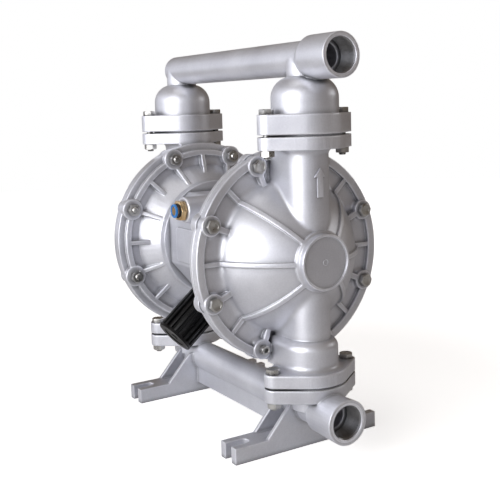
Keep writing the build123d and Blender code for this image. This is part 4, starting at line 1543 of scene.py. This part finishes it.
@dataclass
class Silencer:
    """The ribbed black silencer under the centre body.

    Attributes:
        y: Where its nipple's axis meets the body's lower front face, along Y.
        z: The same, as a height.
        slope: Where the silencer points.
        core: Radius between the ribs.
        rib: Radius over the ribs.
        start: Distance from the face to the ribbed part.
        end: Distance from the face to the far end.
        disc: Thickness of the end discs.
        ribs: How many ribs.
        rib_width: Width of a rib.
        rib_low: How far the ribs stay under the discs' edge.
        edge: Chamfer of the discs' edges.
        nipple: Radius of the nipple, and how deep it goes into the body.
        dish: Outer and inner radius of the shallow dish in the far end.
        dish_depth: Depth of that dish.
    """

    y: float = -0.0483
    z: float = 0.19554
    slope: tuple[float, float, float] = (0.0, -52.0, -44.0)
    core: float = 0.0245
    rib: float = 0.0280
    start: float = 0.014
    end: float = 0.091
    disc: float = 0.004
    ribs: int = 18
    rib_width: float = 0.0042
    rib_low: float = 0.0002
    edge: float = 0.0008
    nipple: tuple[float, float] = (0.0131, 0.012)
    dish: tuple[float, float] = (0.018, 0.005)
    dish_depth: float = 0.0012

    def build(self, finishes: Finishes) -> None:
        """Make the silencer and screw it in.

        Args:
            finishes: The finishes.
        """
        near, far, edge = self.start + self.disc, self.end - self.disc, self.edge
        nipple, sunk = self.nipple
        outer, inner = self.dish
        dip = self.end - self.dish_depth
        steps = [(-sunk, nipple - 0.001), (-sunk + 0.001, nipple), (self.start, nipple)]
        steps += [(self.start, self.rib - edge), (self.start + edge, self.rib)]
        steps += [(near, self.rib), (near, self.core), (far, self.core), (far, self.rib)]
        steps += [(self.end - edge, self.rib), (self.end, self.rib - edge)]
        steps += [(self.end, outer), (dip, outer - 0.001), (dip, inner + 0.001), (self.end, inner)]
        body = lathe("silencer_body", steps, 6 * self.ribs)
        low, high = near - 0.0005, far + 0.0005
        bpy.ops.mesh.primitive_cube_add(size=1, location=(self.core, 0, (low + high) / 2))
        rib = bpy.context.active_object
        depth = 2 * (self.rib - self.core - self.rib_low)
        rib.scale = (depth, self.rib_width, high - low)
        bpy.ops.object.transform_apply(location=True, rotation=True, scale=True)
        break_edges(rib, 0.0006, 30)
        step = 2 * math.pi / self.ribs
        turns = [Matrix.Rotation(step * index, 4, "Z") for index in range(self.ribs)]
        join([body, copies(rib, turns, "silencer_ribs")], "silencer_body")
        settle(body, aim((0, self.y, self.z), self.slope))
        smooth(body, 30)
        finishes.dress(body, Surface.BLACK_NYLON)
        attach(body, "casing")
        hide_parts("silencer")
        log.info("silencer fitted")


# Studio


@dataclass
class Studio:
    """Floor, lamps and camera.

    Attributes:
        eye: Where the camera stands, in metres.
        yaw: Its heading in degrees, turned from +Y.
        pitch: How far it looks down.
        roll: Its tilt about its own axis.
        lens: Focal length in millimetres, on a 36 mm sensor.
        shift: Sideways and upwards shift of the frame.
        floor_glow: White that the camera sees in the floor near the pump, also in its shadows.
        floor_bounce: Share of the light that the floor throws back at the pump.
        floor_near: Distances from the middle between which the floor turns full white.
        lamps: Name, place, aim, size and power of each lamp.
        sky_front: Direction of the bright side of the studio.
        sky_turn: How far round from it the walls fall off, as cosines.
        sky_heights: Heights of direction between which the ceiling falls off.
        sky_ceiling: Share of the light that the ceiling keeps.
        sky_colours: Dark and bright side's colour, as sRGB hex.
        sky_strength: Brightness of the studio's walls.
    """

    eye: tuple[float, float, float] = (1.11457, -0.65780, 0.46922)
    yaw: float = 57.2
    pitch: float = 6.74
    roll: float = -1.53
    lens: float = 62.36
    shift: tuple[float, float] = (-0.0473, -0.0864)
    floor_glow: float = 0.64
    floor_bounce: float = 0.80
    floor_near: tuple[float, float] = (0.45, 1.3)
    sky_front: tuple[float, float, float] = (0.05, -0.995, 0.02)
    sky_turn: tuple[float, float] = (-0.3, 1.0)
    sky_heights: tuple[float, float] = (0.2, 0.8)
    sky_ceiling: float = 0.08
    sky_colours: tuple[str, str] = ("62584e", "f4f6ff")
    sky_strength: float = 1.2
    lamps: list[tuple[str, Place, Place, float, float]] = field(
        default_factory=lambda: [
            ("key", (0.62, -1.7, 0.80), (0.0, 0.0, 0.25), 1.6, 18.0),
            ("front", (0.1, -1.9, 0.25), (0.0, 0.0, 0.25), 2.0, 11.0),
            ("top", (0.1, -0.2, 1.9), (0.0, 0.0, 0.2), 1.0, 3.0),
            ("rim", (0.7, 1.7, 0.9), (0.0, 0.0, 0.25), 0.5, 2.0),
        ]
    )

    def camera(self) -> None:
        """Stand the camera where the picture was taken."""
        data = bpy.data.cameras.new("picture_camera")
        data.lens = self.lens
        data.sensor_width = 36.0
        data.shift_x, data.shift_y = self.shift
        data.clip_start = 0.01
        camera = bpy.data.objects.new("picture_camera", data)
        bpy.context.scene.collection.objects.link(camera)
        turn = (
            Matrix.Rotation(math.radians(self.yaw), 4, "Z")
            @ Matrix.Rotation(math.radians(90 - self.pitch), 4, "X")
            @ Matrix.Rotation(math.radians(self.roll), 4, "Z")
        )
        camera.matrix_world = Matrix.Translation(Vector(self.eye)) @ turn
        bpy.context.scene.camera = camera

    def light(self) -> None:
        """Hang the soft lamps and set the world."""
        for name, place, target, size, power in self.lamps:
            data = bpy.data.lights.new(name, "AREA")
            data.shape = "DISK"
            data.size = size
            data.energy = power
            lamp = bpy.data.objects.new(name, data)
            lamp.matrix_world = aim(place, Vector(place) - Vector(target))
            bpy.context.scene.collection.objects.link(lamp)
        world = bpy.data.worlds.new("studio")
        bpy.context.scene.world = world
        world.use_nodes = True
        tree = world.node_tree
        tree.nodes.clear()
        eased = {"interpolation_type": "SMOOTHSTEP"}
        towards = add_node(tree, "TexCoord").outputs["Generated"]
        facing = {"0": towards, "1": self.sky_front}
        front = add_node(tree, "VectorMath", {"operation": "DOT_PRODUCT"}, facing)
        lit = add_node(
            tree,
            "MapRange",
            eased,
            {
                "Value": front.outputs["Value"],
                "From Min": self.sky_turn[0],
                "From Max": self.sky_turn[1],
            },
        ).outputs[0]
        low = add_node(
            tree,
            "MapRange",
            eased,
            {
                "Value": add_node(tree, "SeparateXYZ", inputs={"0": towards}).outputs["Z"],
                "From Min": self.sky_heights[0],
                "From Max": self.sky_heights[1],
                "To Min": 1.0,
                "To Max": self.sky_ceiling,
            },
        ).outputs[0]
        share = add_node(tree, "Math", {"operation": "MULTIPLY"}, {"0": lit, "1": low}).outputs[0]
        dark, bright = map(linear, self.sky_colours)
        ends = {"0": share, "6": dark, "7": bright}
        colour = add_node(tree, "Mix", {"data_type": "RGBA"}, ends).outputs[2]
        backdrop = {"Color": linear("ffffff"), "Strength": 1.0}
        walls = {"Color": colour, "Strength": self.sky_strength}
        seen = add_node(tree, "Background", inputs=backdrop).outputs[0]
        cast = add_node(tree, "Background", inputs=walls).outputs[0]
        camera_ray = add_node(tree, "LightPath").outputs["Is Camera Ray"]
        mixed = add_node(tree, "MixShader", inputs={"0": camera_ray, "1": cast, "2": seen})
        add_node(tree, "OutputWorld", inputs={"Surface": mixed.outputs[0]})

    def floor(self) -> None:
        """Lay the pale floor."""
        bpy.ops.mesh.primitive_circle_add(
            vertices=96, radius=4.0, fill_type="NGON", location=(0, 0, 0)
        )
        floor = bpy.context.active_object
        floor.name = "studio_floor"
        material = bpy.data.materials.new("white_paper")
        material.use_nodes = True
        tree = material.node_tree
        tree.nodes.clear()
        seen = add_node(tree, "LightPath").outputs["Is Camera Ray"]
        bounce = (self.floor_bounce, self.floor_bounce, self.floor_bounce, 1.0)
        ends = {"0": seen, "6": bounce, "7": linear("fbfbfb")}
        tone = add_node(tree, "Mix", {"data_type": "RGBA"}, ends).outputs[2]
        paper = add_node(tree, "BsdfDiffuse", inputs={"Color": tone}).outputs[0]
        place = add_node(tree, "TexCoord").outputs["Object"]
        away = add_node(tree, "VectorMath", {"operation": "LENGTH"}, {"0": place})
        near = add_node(
            tree,
            "MapRange",
            inputs={
                "Value": away.outputs["Value"],
                "From Min": self.floor_near[0],
                "From Max": self.floor_near[1],
                "To Min": self.floor_glow,
                "To Max": 1.0,
            },
        ).outputs[0]
        white = add_node(tree, "Math", {"operation": "MULTIPLY"}, {"0": seen, "1": near})
        shine = {"Color": linear("ffffff"), "Strength": white.outputs[0]}
        glow = add_node(tree, "Emission", inputs=shine).outputs[0]
        lit = add_node(tree, "AddShader", inputs={"0": paper, "1": glow}).outputs[0]
        add_node(tree, "OutputMaterial", inputs={"Surface": lit})
        floor.data.materials.append(material)

    def build(self) -> None:
        """Set up the whole studio."""
        bpy.context.scene.view_settings.view_transform = "Standard"
        self.camera()
        self.light()
        self.floor()
        log.info("studio ready")


# By the start of a solid's name, for the solids that no piece replaces. The longest start holds
PLAIN_FINISHES: dict[str, Surface] = {
    "air_valve_gasket": Surface.NITRILE,
    "air_valve_sleeve": Surface.GROUND_BAR,
    "air_valve_spool": Surface.TURNED_ALUMINIUM,
    "diaphragm": Surface.NITRILE,
    "diaphragm_rod": Surface.GROUND_BAR,
    "inner_plate": Surface.STAINLESS,
    "outer_plate": Surface.TURNED_ALUMINIUM,
    "rod_bush": Surface.BRONZE,
    "rod_seal": Surface.NITRILE,
    "suction_ball": Surface.NITRILE,
    "discharge_ball": Surface.NITRILE,
    "suction_seat_seal": Surface.NITRILE,
    "discharge_seat_seal": Surface.NITRILE,
    "suction_seat": Surface.TURNED_ALUMINIUM,
    "discharge_seat": Surface.TURNED_ALUMINIUM,
}


def dress_solids(frame: dict[str, object], finishes: Finishes) -> None:
    """Give every solid that stays its finish.

    Args:
        frame: The loaded model.
        finishes: The finishes.
    """
    for name, node in frame["nodes"].items():
        starts = [start for start in PLAIN_FINISHES if name.startswith(start)]
        surface = PLAIN_FINISHES[max(starts, key=len)] if starts else Surface.STAINLESS
        finishes.dress(node, surface)


def main() -> None:
    """Build the pump and its studio in order."""
    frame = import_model()
    finishes = Finishes()
    dress_solids(frame, finishes)
    Castings().build(frame, finishes)
    Fasteners().build(finishes)
    PortThreads().build(finishes)
    FlowArrow().build(finishes)
    centre_marks(finishes)
    AirFitting().build(finishes)
    Silencer().build(finishes)
    Studio().build()
    log.info("size written")


if __name__ == "__main__":
    main()
